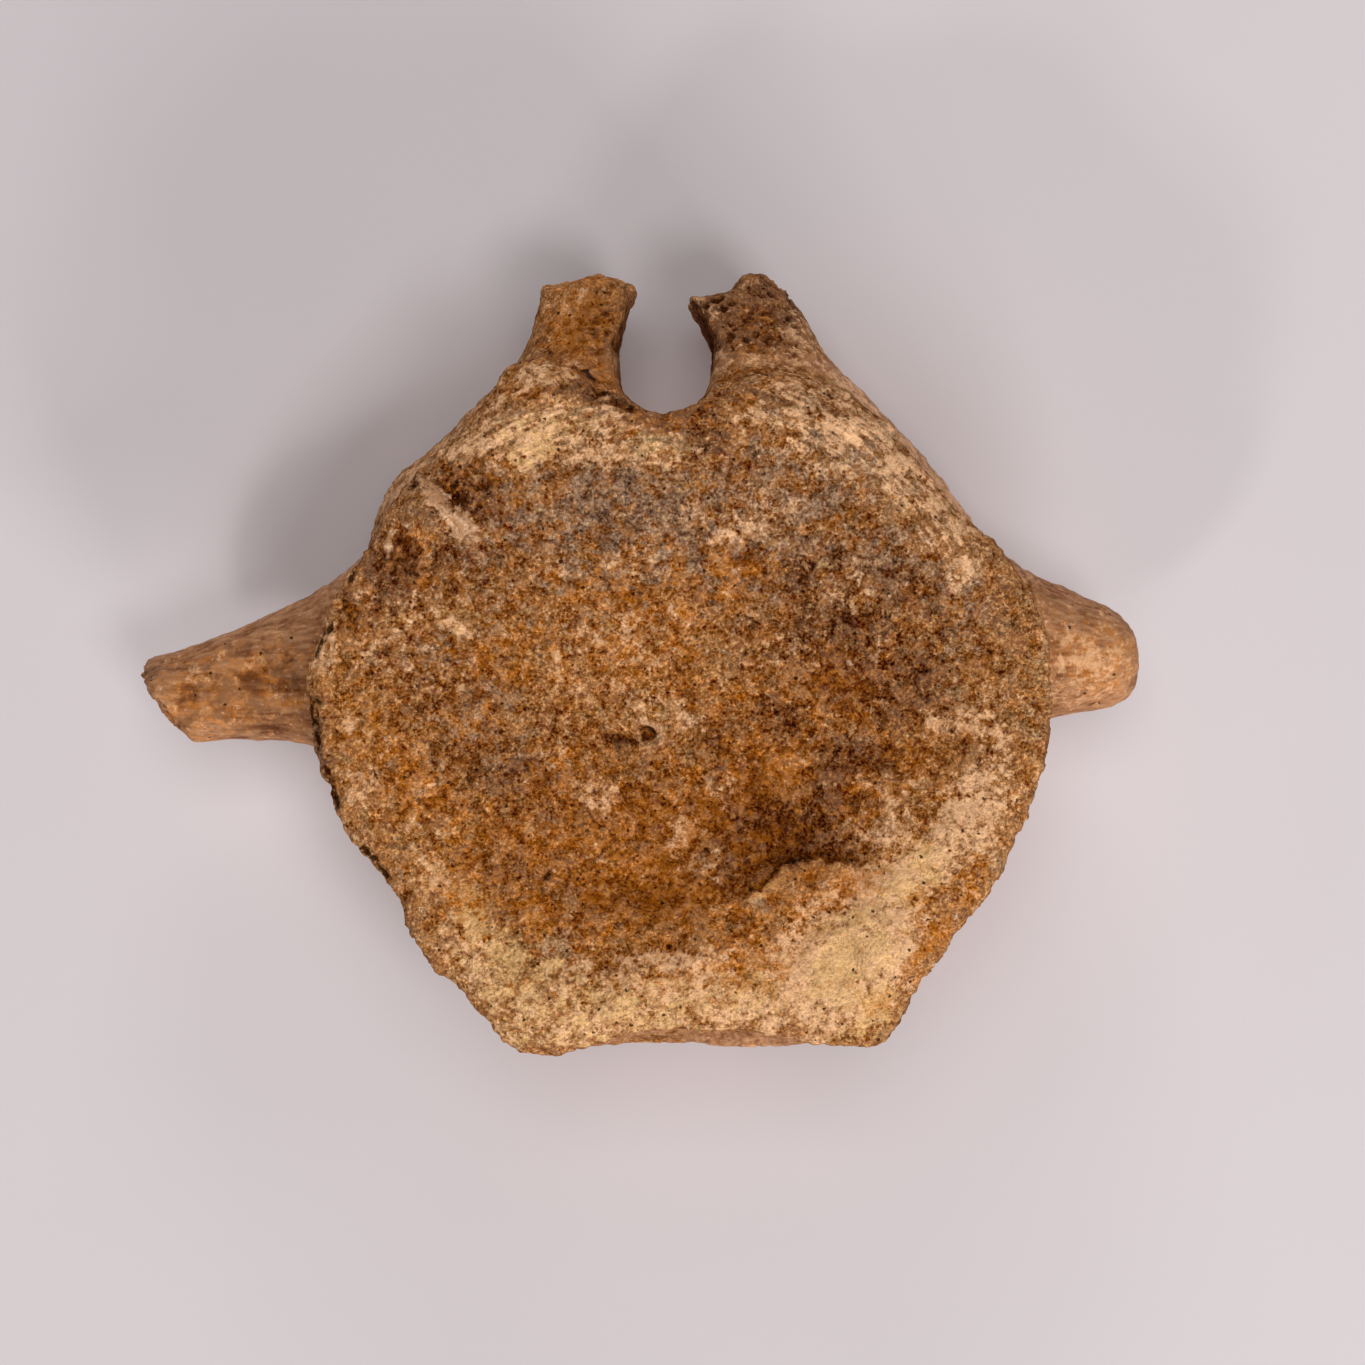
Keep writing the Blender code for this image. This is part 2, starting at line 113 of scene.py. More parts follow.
# Small holes of the rear face: x, y, radius, depth, length as a share of the width, turn in degrees
PITS = (
    (-3.9, 1.6, 0.40, 0.55, 1.8, 20),
    (-1.8, 3.0, 0.30, 0.40, 1.0, 0),
    (4.4, -2.8, 0.30, 0.45, 1.0, 0),
    (8.9, -6.4, 0.30, 0.45, 1.0, 0),
    (19.3, -7.6, 0.42, 0.60, 1.2, 70),
    (12.9, 4.5, 0.25, 0.40, 1.0, 0),
    (13.8, 4.7, 0.25, 0.40, 1.0, 0),
    (-4.8, -13.9, 0.45, 0.60, 1.3, 40),
    (-4.1, -15.2, 0.32, 0.50, 1.0, 0),
    (-5.4, -16.1, 0.32, 0.50, 1.0, 0),
    (7.6, -20.5, 0.50, 0.65, 1.4, 30),
    (18.5, -26.1, 0.28, 0.70, 3.0, 85),
    (-14.5, 28.8, 0.40, 0.50, 2.0, 20),
    (-10.7, 27.1, 0.38, 0.50, 1.8, 15),
    (-13.9, 24.8, 0.35, 0.45, 1.4, 0),
    (-13.1, 27.3, 0.30, 0.40, 1.0, 0),
    (30.2, 21.3, 0.50, 0.60, 1.3, 60),
    (21.3, 30.1, 0.34, 0.55, 4.0, -18),
    (24.6, 28.1, 0.36, 0.60, 3.6, -35),
    (-9.9, -23.1, 0.38, 0.60, 2.6, 45),
    (-7.2, -20.2, 0.36, 0.45, 1.2, 0),
    (3.5, -31.0, 0.60, 0.60, 1.2, 0),
    (11.5, -33.2, 0.34, 0.45, 1.4, 30),
    (-24.8, 20.2, 0.60, 0.70, 1.4, 60),
    (-37.0, -3.4, 0.55, 0.80, 3.0, 80),
    (-35.6, -6.0, 0.45, 0.70, 2.5, 75),
)

# How much of a small hole's width is painted black as its shade
PIT_OPENING = 0.6

# The knob near the middle: a low ring around a bent pit, a black arc of painted shadow along the
# pit's upper edge, and the groove that runs to it
KNOB = Vector((1.2, -7.6))
KNOB_RING = 1.75
KNOB_RISE = 0.45
KNOB_PIT = 0.70
KNOB_PIT_DEPTH = 0.85
KNOB_PAINTED_SHADOW_HALF_WIDTH = 0.20
KNOB_PAINTED_SHADOW = ((0.2, -7.2), (0.55, -6.85), (1.0, -6.75), (1.6, -6.95), (2.1, -7.6))
GROOVE = ((-3.6, -7.6), (-2.0, -7.9), (-0.6, -8.4))
GROOVE_HALF_WIDTH = 0.55
GROOVE_DEPTH = 0.40

# The edge of the ledge of harder crust, and the side on which it stands up
SCARP = (
    (10.5, -26.1), (11.9, -25.5), (14.0, -24.7), (15.3, -23.1), (16.2, -22.3), (17.7, -21.7),
    (19.3, -21.6), (21.5, -21.9), (23.7, -22.1), (24.4, -23.6), (24.8, -24.9),
)
SCARP_RISE = 1.00
SCARP_RAMP = 0.25
SCARP_REACH = 8.0
SCARP_UNDERCUT = 0.45
# How wide the black line of painted shadow at the scarp's foot is, in millimetres
SCARP_SHADOW_LINE = 0.45

# Smooth fragments of bare bone on the crust: x, y, half length, half width, turn, rise
FLAKES = (
    (-19.4, 15.6, 2.7, 1.35, -40, 0.36),
    (-21.6, 18.0, 2.6, 1.15, -46, 0.34),
    (-23.4, 20.2, 1.6, 0.70, -50, 0.24),
    (-27.2, 14.0, 2.3, 0.60, 86, 0.34),
    (-33.6, 4.2, 1.7, 0.40, 70, 0.26),
    (26.6, 1.1, 1.0, 0.55, 75, 0.28),
    (23.7, 6.2, 1.0, 0.34, 80, 0.24),
    (23.4, 0.4, 0.5, 0.40, 0, 0.22),
)

# The crack of the broken rim on the left, and the gap between the upper rim and the arch, both
# painted black as shade
RIM_CRACK = (
    (-31.0, 11.7), (-32.6, 6.9), (-35.3, 2.0), (-36.3, -2.5), (-35.8, -7.0), (-34.7, -9.2),
    (-33.6, -14.2), (-30.6, -19.8), (-26.8, -24.0),
)
CREVICE = ((-6.4, 33.8), (-5.0, 32.2), (-3.9, 30.6), (-2.4, 29.6), (-0.6, 28.6))
CRACK_HALF_WIDTH = 0.36
CRACK_DEPTH = 0.45
CREVICE_HALF_WIDTH = 0.60
CREVICE_DEPTH = 0.90

# Spongy places of the rear face, where the crust is off and the pores are open: x, y, radius
SPONGY = ((-18.5, 20.0, 2.6), (-25.4, 11.5, 2.4), (-36.2, -4.5, 1.8))

# Stains of the rear face: x, y, half length, half width, turn in degrees, strength
CREAM = (
    (-10.0, 26.0, 8.5, 2.6, 10, 0.84),
    (-18.0, 25.0, 5.5, 2.2, 34, 0.85),
    (-5.0, 23.4, 5.0, 1.8, 0, 0.90),
    (2.0, 23.2, 4.5, 2.2, 0, 0.55),
    (14.0, 27.5, 5.0, 2.2, -5, 0.55),
    (20.5, 22.5, 3.2, 1.6, -20, 0.85),
    (22.3, 27.0, 8.5, 3.0, -20, 0.82),
    (29.0, 22.7, 6.5, 3.4, -55, 0.85),
    (33.9, 16.1, 6.5, 2.5, -65, 0.85),
    (35.6, 10.1, 2.4, 1.4, 80, 1.1),
    (34.5, 18.0, 4.0, 1.8, -58, 1.05),
    (27.5, 22.5, 4.0, 1.6, -30, 0.60),
    (-2.5, 1.0, 7.0, 6.0, 0, 0.42),
    (-10.0, 12.0, 4.0, 2.4, 0, 0.45),
    (0.0, 12.0, 3.0, 2.4, 0, 0.45),
    (-10.0, 32.2, 4.0, 1.8, 15, 0.85),
    (-14.0, 23.0, 6.0, 2.0, 25, 0.62),
    (14.5, 17.5, 3.0, 3.0, 20, 0.60),
    (36.0, -17.5, 7.5, 3.6, 55, 1.05),
    (28.5, -24.5, 5.5, 3.8, 50, 1.15),
    (26.0, -30.5, 7.0, 5.0, 60, 1.25),
    (19.5, -33.0, 6.0, 4.5, 10, 1.10),
    (16.0, -38.0, 12.0, 3.0, 0, 0.85),
    (27.0, -18.0, 4.0, 2.6, 50, 0.80),
    (21.0, -27.5, 5.0, 2.6, 10, 0.85),
    (4.0, -35.6, 12.0, 4.0, 0, 0.68),
    (3.0, -33.0, 7.0, 1.8, 0, 0.75),
    (-6.5, -34.0, 6.0, 2.2, 0, 0.50),
    (-8.5, -38.8, 10.5, 4.4, 5, 0.60),
    (22.0, -38.6, 5.0, 2.2, 20, 1.00),
    (-18.8, -31.5, 5.0, 2.2, -50, 0.60),
    (-22.8, -22.5, 3.2, 2.0, -60, 0.60),
    (-23.9, -17.5, 3.0, 2.0, 0, 0.50),
    (-30.0, -12.0, 2.0, 3.2, -20, 0.60),
    (-35.4, 2.6, 1.6, 4.0, 10, 1.10),
    (-31.0, 8.5, 1.6, 2.6, 20, 0.35),
    (-29.5, 2.4, 2.0, 2.8, 10, 0.48),
    (-20.6, 4.5, 2.6, 2.0, 0, 0.60),
    (-25.0, 5.0, 5.0, 3.0, 0, 0.32),
    (-24.5, -1.0, 2.0, 6.0, 10, 0.28),
    (-31.4, -5.6, 1.2, 1.2, 0, 0.8),
    (11.3, 15.0, 2.8, 1.7, 20, 0.95),
    (6.9, 16.7, 2.6, 1.3, 0, 0.66),
    (33.9, -5.9, 2.6, 2.4, 30, 0.80),
    (38.6, -6.5, 2.2, 4.0, 0, 0.75),
    (38.6, -14.0, 2.6, 5.0, -18, 0.70),
    (0.3, -4.2, 2.6, 1.9, 40, 0.50),
    (5.4, -7.4, 2.4, 2.0, 0, 0.4),
    (-5.5, -33.0, 2.6, 1.4, 0, 0.70),
    (0.0, -23.5, 3.0, 1.4, 0, 0.40),
    (15.0, -33.0, 2.4, 2.0, 0, 0.70),
    (25.0, -23.5, 3.0, 2.0, 50, 0.90),
    (4.7, -18.6, 2.6, 1.6, 45, 0.80),
    (8.6, -14.2, 1.6, 1.4, 0, 0.62),
    (-4.5, -14.6, 1.8, 2.4, 20, 0.75),
    (7.8, -20.8, 1.6, 1.8, 0, 0.62),
    (16.2, 2.2, 3.6, 2.6, 30, 0.42),
    (24.5, 9.0, 3.0, 3.0, 0, 0.45),
)
LIME = (
    (23.5, -32.0, 6.5, 4.5, 50, 1.10),
    (26.0, -38.4, 4.0, 2.4, 40, 0.95),
    (30.0, -23.0, 6.0, 3.0, 50, 0.90),
    (12.0, -36.5, 8.0, 3.0, 0, 0.70),
    (-2.0, -38.0, 14.0, 4.0, 0, 0.72),
    (-14.0, -33.0, 7.0, 4.5, -40, 0.75),
    (-17.0, -29.0, 5.0, 2.4, -50, 0.95),
    (-22.0, -22.0, 3.0, 1.8, -60, 0.60),
    (-11.5, 24.0, 3.0, 1.6, 10, 0.95),
    (-10.0, 26.2, 6.0, 1.8, 10, 0.60),
    (2.5, 23.5, 4.0, 2.4, 0, 0.50),
    (-20.5, 5.5, 2.4, 1.6, 0, 0.55),
)
GREY = (
    (4.0, 16.5, 27.0, 10.0, 0, 0.60),
    (24.0, 22.0, 12.0, 6.0, -35, 0.55),
    (-3.5, 18.3, 7.0, 3.6, -8, 0.85),
    (-13.5, 15.0, 4.0, 3.0, 0, 0.70),
    (-3.4, 13.2, 4.0, 2.4, 0, 0.55),
    (18.0, 19.4, 7.0, 4.4, -20, 0.72),
    (16.0, 13.0, 3.4, 3.0, 0, 0.55),
    (28.0, 12.0, 6.0, 5.0, -30, 0.62),
    (25.0, 21.0, 7.0, 2.0, -25, 0.55),
    (-12.0, 20.5, 5.0, 2.2, 10, 0.60),
    (12.0, 21.5, 3.0, 2.4, 0, 0.55),
    (35.0, 6.0, 3.0, 6.0, 0, 0.60),
    (14.6, 23.6, 4.4, 2.2, -10, 0.62),
    (-12.4, -11.4, 5.2, 2.2, -8, 0.50),
    (-17.3, -5.4, 3.8, 4.6, 0, 0.50),
    (-21.7, 2.4, 4.4, 4.0, 0, 0.42),
    (14.0, -25.8, 1.8, 1.0, 20, 0.62),
    (-9.0, -31.5, 4.2, 2.4, -20, 0.35),
)
DARK = (
    (22.5, 1.0, 7.5, 6.5, -10, 0.90),
    (29.0, -2.5, 6.0, 5.5, -20, 0.80),
    (28.0, 9.0, 6.0, 3.6, -30, 0.62),
    (19.0, 10.0, 5.5, 3.6, 0, 0.58),
    (-29.5, 1.5, 2.4, 3.0, 0, 0.50),
    (-15.0, -29.0, 4.0, 1.8, -30, 0.60),
    (-20.0, -23.0, 2.6, 2.4, 0, 0.62),
    (14.0, 2.0, 3.4, 3.0, 0, 0.40),
    (15.5, -6.5, 3.2, 3.4, 0, 0.80),
    (15.2, -19.3, 9.4, 5.0, 8, 1.30),
    (21.0, -15.2, 5.0, 3.8, 20, 0.95),
    (0.3, -25.5, 9.5, 3.6, 6, 0.95),
    (0.0, -16.0, 20.0, 5.0, 0, 0.58),
    (11.0, -13.0, 5.0, 3.4, 0, 0.70),
    (6.0, -22.5, 5.0, 2.4, 0, 0.60),
    (15.0, -7.0, 3.4, 2.4, 0, 0.40),
    (26.0, -12.5, 4.0, 2.4, 0, 0.45),
    (-20.0, -2.5, 4.0, 2.0, 0, 0.45),
    (-11.5, -32.5, 3.4, 1.6, 0, 0.50),
    (-18.0, -10.0, 6.5, 4.0, 0, 0.52),
    (-23.0, -3.0, 5.0, 4.0, 0, 0.40),
    (9.0, -22.0, 5.5, 3.4, 0, 1.05),
    (-1.6, -8.3, 2.4, 0.7, -12, 1.30),
    (-18.4, 19.9, 3.0, 2.4, -30, 2.0),
    (-16.6, 18.0, 2.2, 2.2, 0, 1.3),
    (-27.0, 10.8, 3.0, 3.8, 20, 1.6),
    (-31.0, 6.5, 2.0, 3.0, 0, 1.0),
    (-24.0, 16.5, 2.6, 3.6, 20, 0.4),
    (40.6, 1.0, 2.0, 6.0, 0, 0.30),
    (40.0, 6.5, 2.2, 5.0, 20, 0.40),
    (10.5, 22.0, 3.0, 2.0, 0, 0.55),
    (24.0, -10.5, 5.0, 3.2, 0, 0.85),
    (-12.0, -13.0, 6.0, 2.6, 0, 0.66),
    (-35.0, -9.5, 1.2, 5.0, 14, 0.90),
    (38.0, -12.5, 1.6, 2.6, 0, 0.50),
    (-18.5, 12.0, 4.0, 2.4, 0, 0.45),
    (-11.7, -23.5, 6.5, 3.8, -20, 0.65),
    (-15.5, -27.0, 4.0, 2.2, -35, 0.60),
    (-24.0, 8.6, 4.6, 3.4, 0, 0.45),
    (10.4, -9.4, 6.0, 3.4, -30, 0.60),
    (12.0, 30.2, 5.0, 1.0, -8, 0.75),
    (-6.0, 30.0, 5.0, 1.0, -8, 0.95),
    (1.5, 27.8, 5.5, 1.3, 0, 1.10),
    (8.5, 29.6, 3.0, 1.2, 30, 0.95),
    (7.6, 24.4, 2.6, 3.4, 0, 0.60),
)
RUST = (
    (-1.0, 8.4, 9.0, 4.5, -5, 0.52),
    (11.3, 10.6, 4.8, 3.6, 0, 0.56),
    (0.3, 2.9, 9.5, 6.0, 0, 0.50),
    (4.0, -21.0, 24.0, 11.0, 0, 0.74),
    (14.0, -13.0, 7.0, 8.0, 0, 0.75),
    (23.5, -24.0, 4.0, 3.0, 0, 0.85),
    (0.3, -17.0, 7.0, 3.8, 12, 0.80),
    (1.5, -25.0, 9.5, 4.2, 5, 1.15),
    (8.6, -18.0, 4.0, 3.0, 0, 0.90),
    (-9.0, -12.5, 4.5, 3.0, 0, 0.75),
    (12.4, -6.5, 6.0, 3.4, -20, 0.45),
    (17.6, -22.9, 6.0, 1.3, -4, 1.15),
    (13.0, -20.5, 8.0, 4.0, 8, 0.90),
    (-8.5, -20.4, 5.0, 3.6, 0, 0.72),
    (-12.0, -26.5, 6.0, 3.0, -25, 0.72),
    (-19.0, -24.5, 7.0, 4.0, -50, 0.72),
    (-29.0, -8.5, 5.0, 7.0, 0, 0.52),
    (-23.8, -13.6, 6.0, 4.4, -30, 0.66),
    (26.3, -37.0, 2.6, 1.6, 30, 0.80),
    (32.0, -30.6, 5.0, 1.6, 52, 0.85),
    (36.5, -24.0, 4.0, 1.6, 62, 0.60),
    (-14.0, 1.4, 6.0, 4.6, 0, 0.42),
    (14.6, -14.4, 7.0, 3.0, 25, 0.35),
    (22.0, -35.0, 2.4, 1.2, 0, 0.60),
    (-18.3, 20.4, 4.0, 3.2, 0, 0.72),
    (-25.6, 11.5, 3.2, 4.2, 10, 0.72),
    (-15.5, 18.5, 2.6, 2.2, 0, 0.7),
    (1.5, 27.6, 5.0, 1.4, 0, 0.80),
    (31.0, -26.0, 5.0, 2.0, 55, 0.70),
    (13.0, -33.0, 8.0, 4.0, 0, 0.66),
    (22.0, -1.5, 6.5, 5.0, 0, 0.74),
    (12.0, -12.0, 7.0, 3.6, 15, 0.66),
    (23.5, -17.0, 5.0, 3.4, 40, 0.70),
    (20.0, -24.5, 6.0, 2.0, 20, 0.70),
    (-18.0, -7.0, 4.0, 5.0, 0, 0.62),
    (-15.0, -19.0, 5.0, 4.0, 0, 0.66),
    (3.0, -34.5, 5.0, 2.0, 0, 0.62),
    (-31.0, 6.5, 2.2, 6.0, 0, 0.62),
    (-34.5, -1.0, 1.6, 4.0, 0, 0.60),
    (-7.0, 32.5, 4.0, 1.8, 0, 0.70),
    (24.0, -14.0, 6.0, 4.0, 20, 0.55),
    (30.0, -8.0, 5.0, 6.0, 0, 0.50),
    (10.0, 29.6, 5.0, 1.4, 10, 0.70),
    (-8.0, 30.2, 6.0, 1.2, 8, 0.60),
)

# Stains of the limbs, on the surface that the rear face leaves open to view
LIMB_RUST = (
    (-6.5, 39.0, 4.6, 6.0, 0, 1.0),
    (13.0, 38.0, 5.0, 5.0, 0, 0.60),
    (-46.5, -3.0, 9.0, 5.0, 12, 0.85),
    (-52.9, -6.4, 3.0, 2.4, -40, 1.0),
    (-48.4, 0.4, 1.8, 1.4, 20, 0.80),
    (-42.3, -0.5, 2.2, 1.4, 0, 0.90),
    (51.5, 1.0, 5.4, 4.0, 0, 0.95),
    (10.4, 31.4, 3.0, 1.6, 30, 0.70),
    (3.0, 28.6, 6.5, 1.5, 0, 0.95),
    (-3.6, 32.4, 1.8, 4.0, 12, 1.00),
)
LIMB_DARK = (
    (13.5, 39.8, 6.5, 4.6, 0, 1.35),
    (-45.0, -7.0, 4.0, 2.0, 0, 0.80),
    (-53.0, -7.2, 2.6, 1.2, 0, 0.90),
    (-4.4, 37.5, 2.8, 5.0, 0, 1.00),
    (-7.0, 38.5, 4.6, 5.0, 0, 0.38),
    (10.5, 37.0, 3.0, 3.4, 0, 1.25),
    (-8.0, 35.6, 4.0, 1.4, 0, 0.60),
    (-42.0, -3.2, 1.2, 2.4, 0, 0.80),
    (-42.5, -6.0, 5.0, 2.0, 0, 0.80),
    (-52.0, -5.0, 2.6, 1.8, -20, 0.70),
    (-39.0, -4.5, 3.0, 3.5, 0, 0.60),
    (-2.2, 32.4, 2.0, 4.0, 0, 1.0),
    (3.0, 28.8, 5.4, 1.2, 0, 0.85),
    (9.0, 31.4, 1.4, 2.8, 0, 0.60),
    (-55.5, -1.5, 2.0, 1.0, -60, 0.80),
    (-44.5, -2.5, 7.0, 4.5, 10, 0.95),
    (57.0, -0.6, 1.0, 2.4, 0, 0.75),
    (41.2, 9.6, 2.0, 1.4, 0, 0.70),
)
LIMB_LIME = ((51.5, -2.0, 5.0, 3.4, 0, 0.45),)
LIMB_CREAM = (
    (31.5, 24.0, 14.0, 3.2, -50, 1.20),
    (-27.0, 23.0, 12.0, 3.0, 48, 0.80),
    (-11.0, 32.4, 4.0, 1.6, 20, 1.00),
    (16.5, 32.4, 6.0, 1.8, -20, 0.95),
    (-8.5, 42.0, 3.0, 1.4, 0, 0.60),
    (7.0, 41.2, 2.4, 1.2, -20, 0.60),
    (8.2, 34.6, 1.6, 2.4, 20, 0.60),
    (-50.5, -0.8, 3.0, 1.0, -20, 0.40),
    (49.6, 0.6, 6.0, 4.6, 0, 0.60),
    (18.6, 37.2, 2.0, 3.2, 25, 0.70),
)

# Stains of the sides that the camera doesn't see: width in millimetres, seed of the noise, strength
FREE_STAINS = {
    "cream": (11.0, 101, 0.52),
    "lime": (13.0, 103, 0.56),
    "grey": (9.0, 107, 0.66),
    "dark": (12.0, 109, 0.80),
    "rust": (8.0, 113, 0.64),
}

# Where thin streaks run around the middle of the face: along the upper rim and at the left
STREAKS = (
    (-9.0, 27.5, 12.0, 4.0, 12, 1.0),
    (3.0, 25.0, 8.0, 3.0, 0, 0.7),
    (20.0, 27.0, 11.0, 4.0, -20, 1.0),
    (32.0, 17.0, 8.0, 3.0, -60, 0.8),
    (-34.5, 2.0, 1.6, 8.0, 8, 0.4),
)
STREAK_CENTRE = (3.0, -4.0, 0.0)
UPPER_RIM_Y = 15.0

# How stains curdle: the shares of two clouds, the fine noise and the grains in the odds of a stain,
# what its attribute adds and what all odds lose, and the odds at which it starts and is full
CLOT_SHARES = (1.8, 2.1, 0.6, 0.15)
STAIN_GAIN = 0.66
STAIN_LOSS = 2.55
STAIN_START = -0.12
STAIN_FULL = 0.46

# Linear red, green and blue that a grain of twice the usual tone has over its neighbours
GRAIN_SHIFT = (0.150, 0.098, 0.052)
DARKEST_GRAIN = (0.012, 0.005, 0.002)

# The lamps, which all stand a metre off: azimuth from +X and height in degrees, width in metres
LAMPS = {
    "top": (90, 80, 0.40),
    "top_right": (-45, 70, 0.24),
    "low_front": (-60, 28, 0.40),
    "low_left": (-120, 38, 0.12),
    "low_back": (90, 20, 0.40),
}


def linear(code):
    """An sRGB hex code as linear red, green and blue."""
    shares = [int(code[k : k + 2], 16) / 255 for k in (1, 3, 5)]
    return tuple(s / 12.92 if s <= 0.04045 else ((s + 0.055) / 1.055) ** 2.4 for s in shares)


def colour(name, code, words):
    return FloatVectorProperty(
        name=name, description=words, subtype="COLOR", min=0.0, max=1.0, default=linear(code)
    )


def length(name, value, words):
    return FloatProperty(name=name, description=words, default=value, min=0.0, unit="LENGTH")


def power(name, value, words):
    return FloatProperty(name=name, description=words, default=value, min=0.0)


class FossilSizes(bpy.types.PropertyGroup):
    skin: length("Skin", 0.00042, "Edge length of the even skin that is carved")
    triangles: IntProperty(
        name="Triangles", description="Most triangles of the carved bone", default=196000, min=1000
    )
    lumps: length("Lumps", 0.00024, "Height of the broad lumps of the crust")
    islands: length("Islands", 0.00022, "Thickness of the patches where the crust is doubled")
    grit: length("Grit", 0.00016, "Height of the crust's coarse grit")
    fibres: length("Fibres", 0.00016, "Height of the long fibres of bare bone")
    pores: length("Pores", 0.00060, "Depth of the open pores of spongy bone")
    chips: length("Chips", 0.00042, "Height of the chips along the rims")
    grain: length("Grain", 0.00030, "Width of the sand grains of the crust")


class FossilColours(bpy.types.PropertyGroup):
    crust: colour("Crust", "#ba7a3d", "Sandstone crust, stained brown by iron")
    crust_shade: colour("Crust shade", "#82430e", "The darker half of the same crust")
    cream: colour("Cream", "#fdc695", "Crust with lime in it, on the rims")
    lime: colour("Lime", "#fdca88", "Yellowish crust, richest in lime")
    sand: colour("Sand", "#cc9a63", "Pinkish beige sand grains that lie everywhere")
    grey: colour("Grey", "#8b6f5b", "Bluish grey crust with manganese in it")
    # Dark also lies as painted shadow at the foot of the scarp
    dark: colour("Dark", "#5c2a03", "Crust soaked with iron, in the hollows")
    rust: colour("Rust", "#c9761c", "Orange rust between the grains")
    # Pore is painted shade at the bottoms of pores, holes and cracks, and the real black of single
    # grains
    pore: colour("Pore", "#2a1102", "Shaded bottoms of pores, and black grains")
    bone: colour("Bone", "#c08a60", "Bare bone, pinkish brown")
    bone_shade: colour("Bone shade", "#8a5229", "The darker fibres of bare bone")
    flake: colour("Flake", "#f2c49c", "Pale smooth fragments of bone")
    # Painted shade: the colour that steep rim edges and hollows are multiplied by
    painted_shade: colour("Shade", "#a5876a", "What edges and hollows are multiplied by")
    sheet: colour("Sheet", "#e0d7d9", "The pale sheet that the bone lies on")
    sky: colour("Sky", "#f4f2f6", "Tint of the light from all around")


class FossilLight(bpy.types.PropertyGroup):
    sky: power("Even light", 0.09, "Strength of the light from all around")
    top: power("Top", 2.4, "Power of the wide lamp nearly overhead")
    top_right: power("Top right", 2.3, "Power of the small lamp high in front, on the right")
    low_front: power("Low front", 4.8, "Power of the wide lamp low in front, on the right")
    low_left: power("Low left", 1.68, "Power of the small lamp low in front, on the left")
    low_back: power("Low back", 2.6, "Power of the wide lamp low behind the arch")


def smoothstep(values):
    share = np.clip(values, 0.0, 1.0)
    return share * share * (3 - 2 * share)


def field(points, size, seed, octaves=1):
    """Even noise of about -1 to 1 at points, with lumps of that size in millimetres."""
    moved = points / np.asarray(size) + np.array((seed, 2.3 * seed, -1.7 * seed))
    return np.array([noise.fractal(point, 1.0, 2.0, octaves) for point in moved.tolist()])


def cells(points, size, seed):
    """Distance to the nearest of scattered points, as a share of the size in millimetres."""
    moved = points / size + np.array((seed, -seed, 1.9 * seed))
    return np.array([noise.voronoi(point)[0][0] for point in moved.tolist()])


def warped(points, reach, size, seed):
    """The points in X and Y, each moved a little by noise, so that outlines turn ragged."""
    flat = np.pad(points[:, :2], ((0, 0), (0, 1)))
    shift = [field(flat, size, seed + k, 2) for k in (0, 5)]
    return points[:, :2] + reach * np.stack(shift, axis=1)


def turned(points, x, y, degrees):
    """The points in X and Y as seen from a place and a direction on the surface."""
    angle = math.radians(degrees)
    along, across = math.cos(angle), math.sin(angle)
    off = points - (x, y)
    return off[:, 0] * along + off[:, 1] * across, off[:, 1] * along - off[:, 0] * across


def patches(points, spots):
    """How strongly a list of soft spots covers each point, from 0 to 1."""
    covered = np.zeros(len(points))
    for x, y, half_length, half_width, degrees, strength in spots:
        u, v = turned(points, x, y, degrees)
        out = np.hypot(u / half_length, v / half_width)
        covered = np.maximum(covered, strength * smoothstep((1.75 - out) / 1.5))
    return covered


def along_path(points, path):
    """Distance to a path, the place along it and its whole length, and the side: 1 on its right."""
    best = np.full(len(points), 1e9)
    place = np.zeros(len(points))
    side = np.ones(len(points))
    done = 0.0
    for a, b in zip(np.array(path), np.array(path[1:])):
        step = b - a
        size = np.hypot(*step)
        share = np.clip((points - a) @ step / size**2, 0, 1)
        off = points - a - share[:, None] * step
        gap = np.hypot(off[:, 0], off[:, 1])
        nearer = gap < best
        best = np.where(nearer, gap, best)
        place = np.where(nearer, done + share * size, place)
        cross = step[0] * off[:, 1] - step[1] * off[:, 0]
        side = np.where(nearer & (np.abs(cross) > 1e-9), np.where(cross < 0, 1.0, -1.0), side)
        done += size
    return best, place, done, side


def read(mesh, what):
    """The mesh's vertex places or normals as rows of three numbers."""
    found = np.empty(len(mesh.vertices) * 3)
    mesh.vertices.foreach_get(what, found)
    return found.reshape(-1, 3)


def regions(points, normals):
    """The parts of the bone, each as a share from 0 to 1 at every point."""
    x, y, z = points.T
    up = normals[:, 2]
    left = smoothstep((LEFT_PROCESS_X - x) / 2.5)
    right = smoothstep((x - RIGHT_PROCESS_X) / 2.5)
    pedicel = smoothstep((y - PEDICEL_Y) / 2.0)
    limb = np.maximum(np.maximum(left, right) * smoothstep((40 - z) / 4), pedicel)
    rear = smoothstep((up - 0.25) / 0.35) * smoothstep((z - REAR_FACE_Z) / 3) * (1 - pedicel)
    front = smoothstep((-up - 0.25) / 0.35) * smoothstep((FRONT_FACE_Z - z) / 3)
    ends = np.maximum.reduce([
        smoothstep((y - ARCH_END_Y) / 0.8) * smoothstep((normals[:, 1] - 0.3) / 0.3),
        smoothstep((LEFT_TIP_X - x) / 2.0) * smoothstep((-normals[:, 0] - 0.4) / 0.3),
    ])
    rim = smoothstep((z - REAR_FACE_Z) / 3) * (1 - rear) * (1 - limb)
    return {
        "limb": limb,
        "across": np.maximum(left, right) * (1 - pedicel),
        "pedicel": pedicel,
        "rear": rear,
        "front": front,
        "ends": ends,
        "rim": rim,
    }


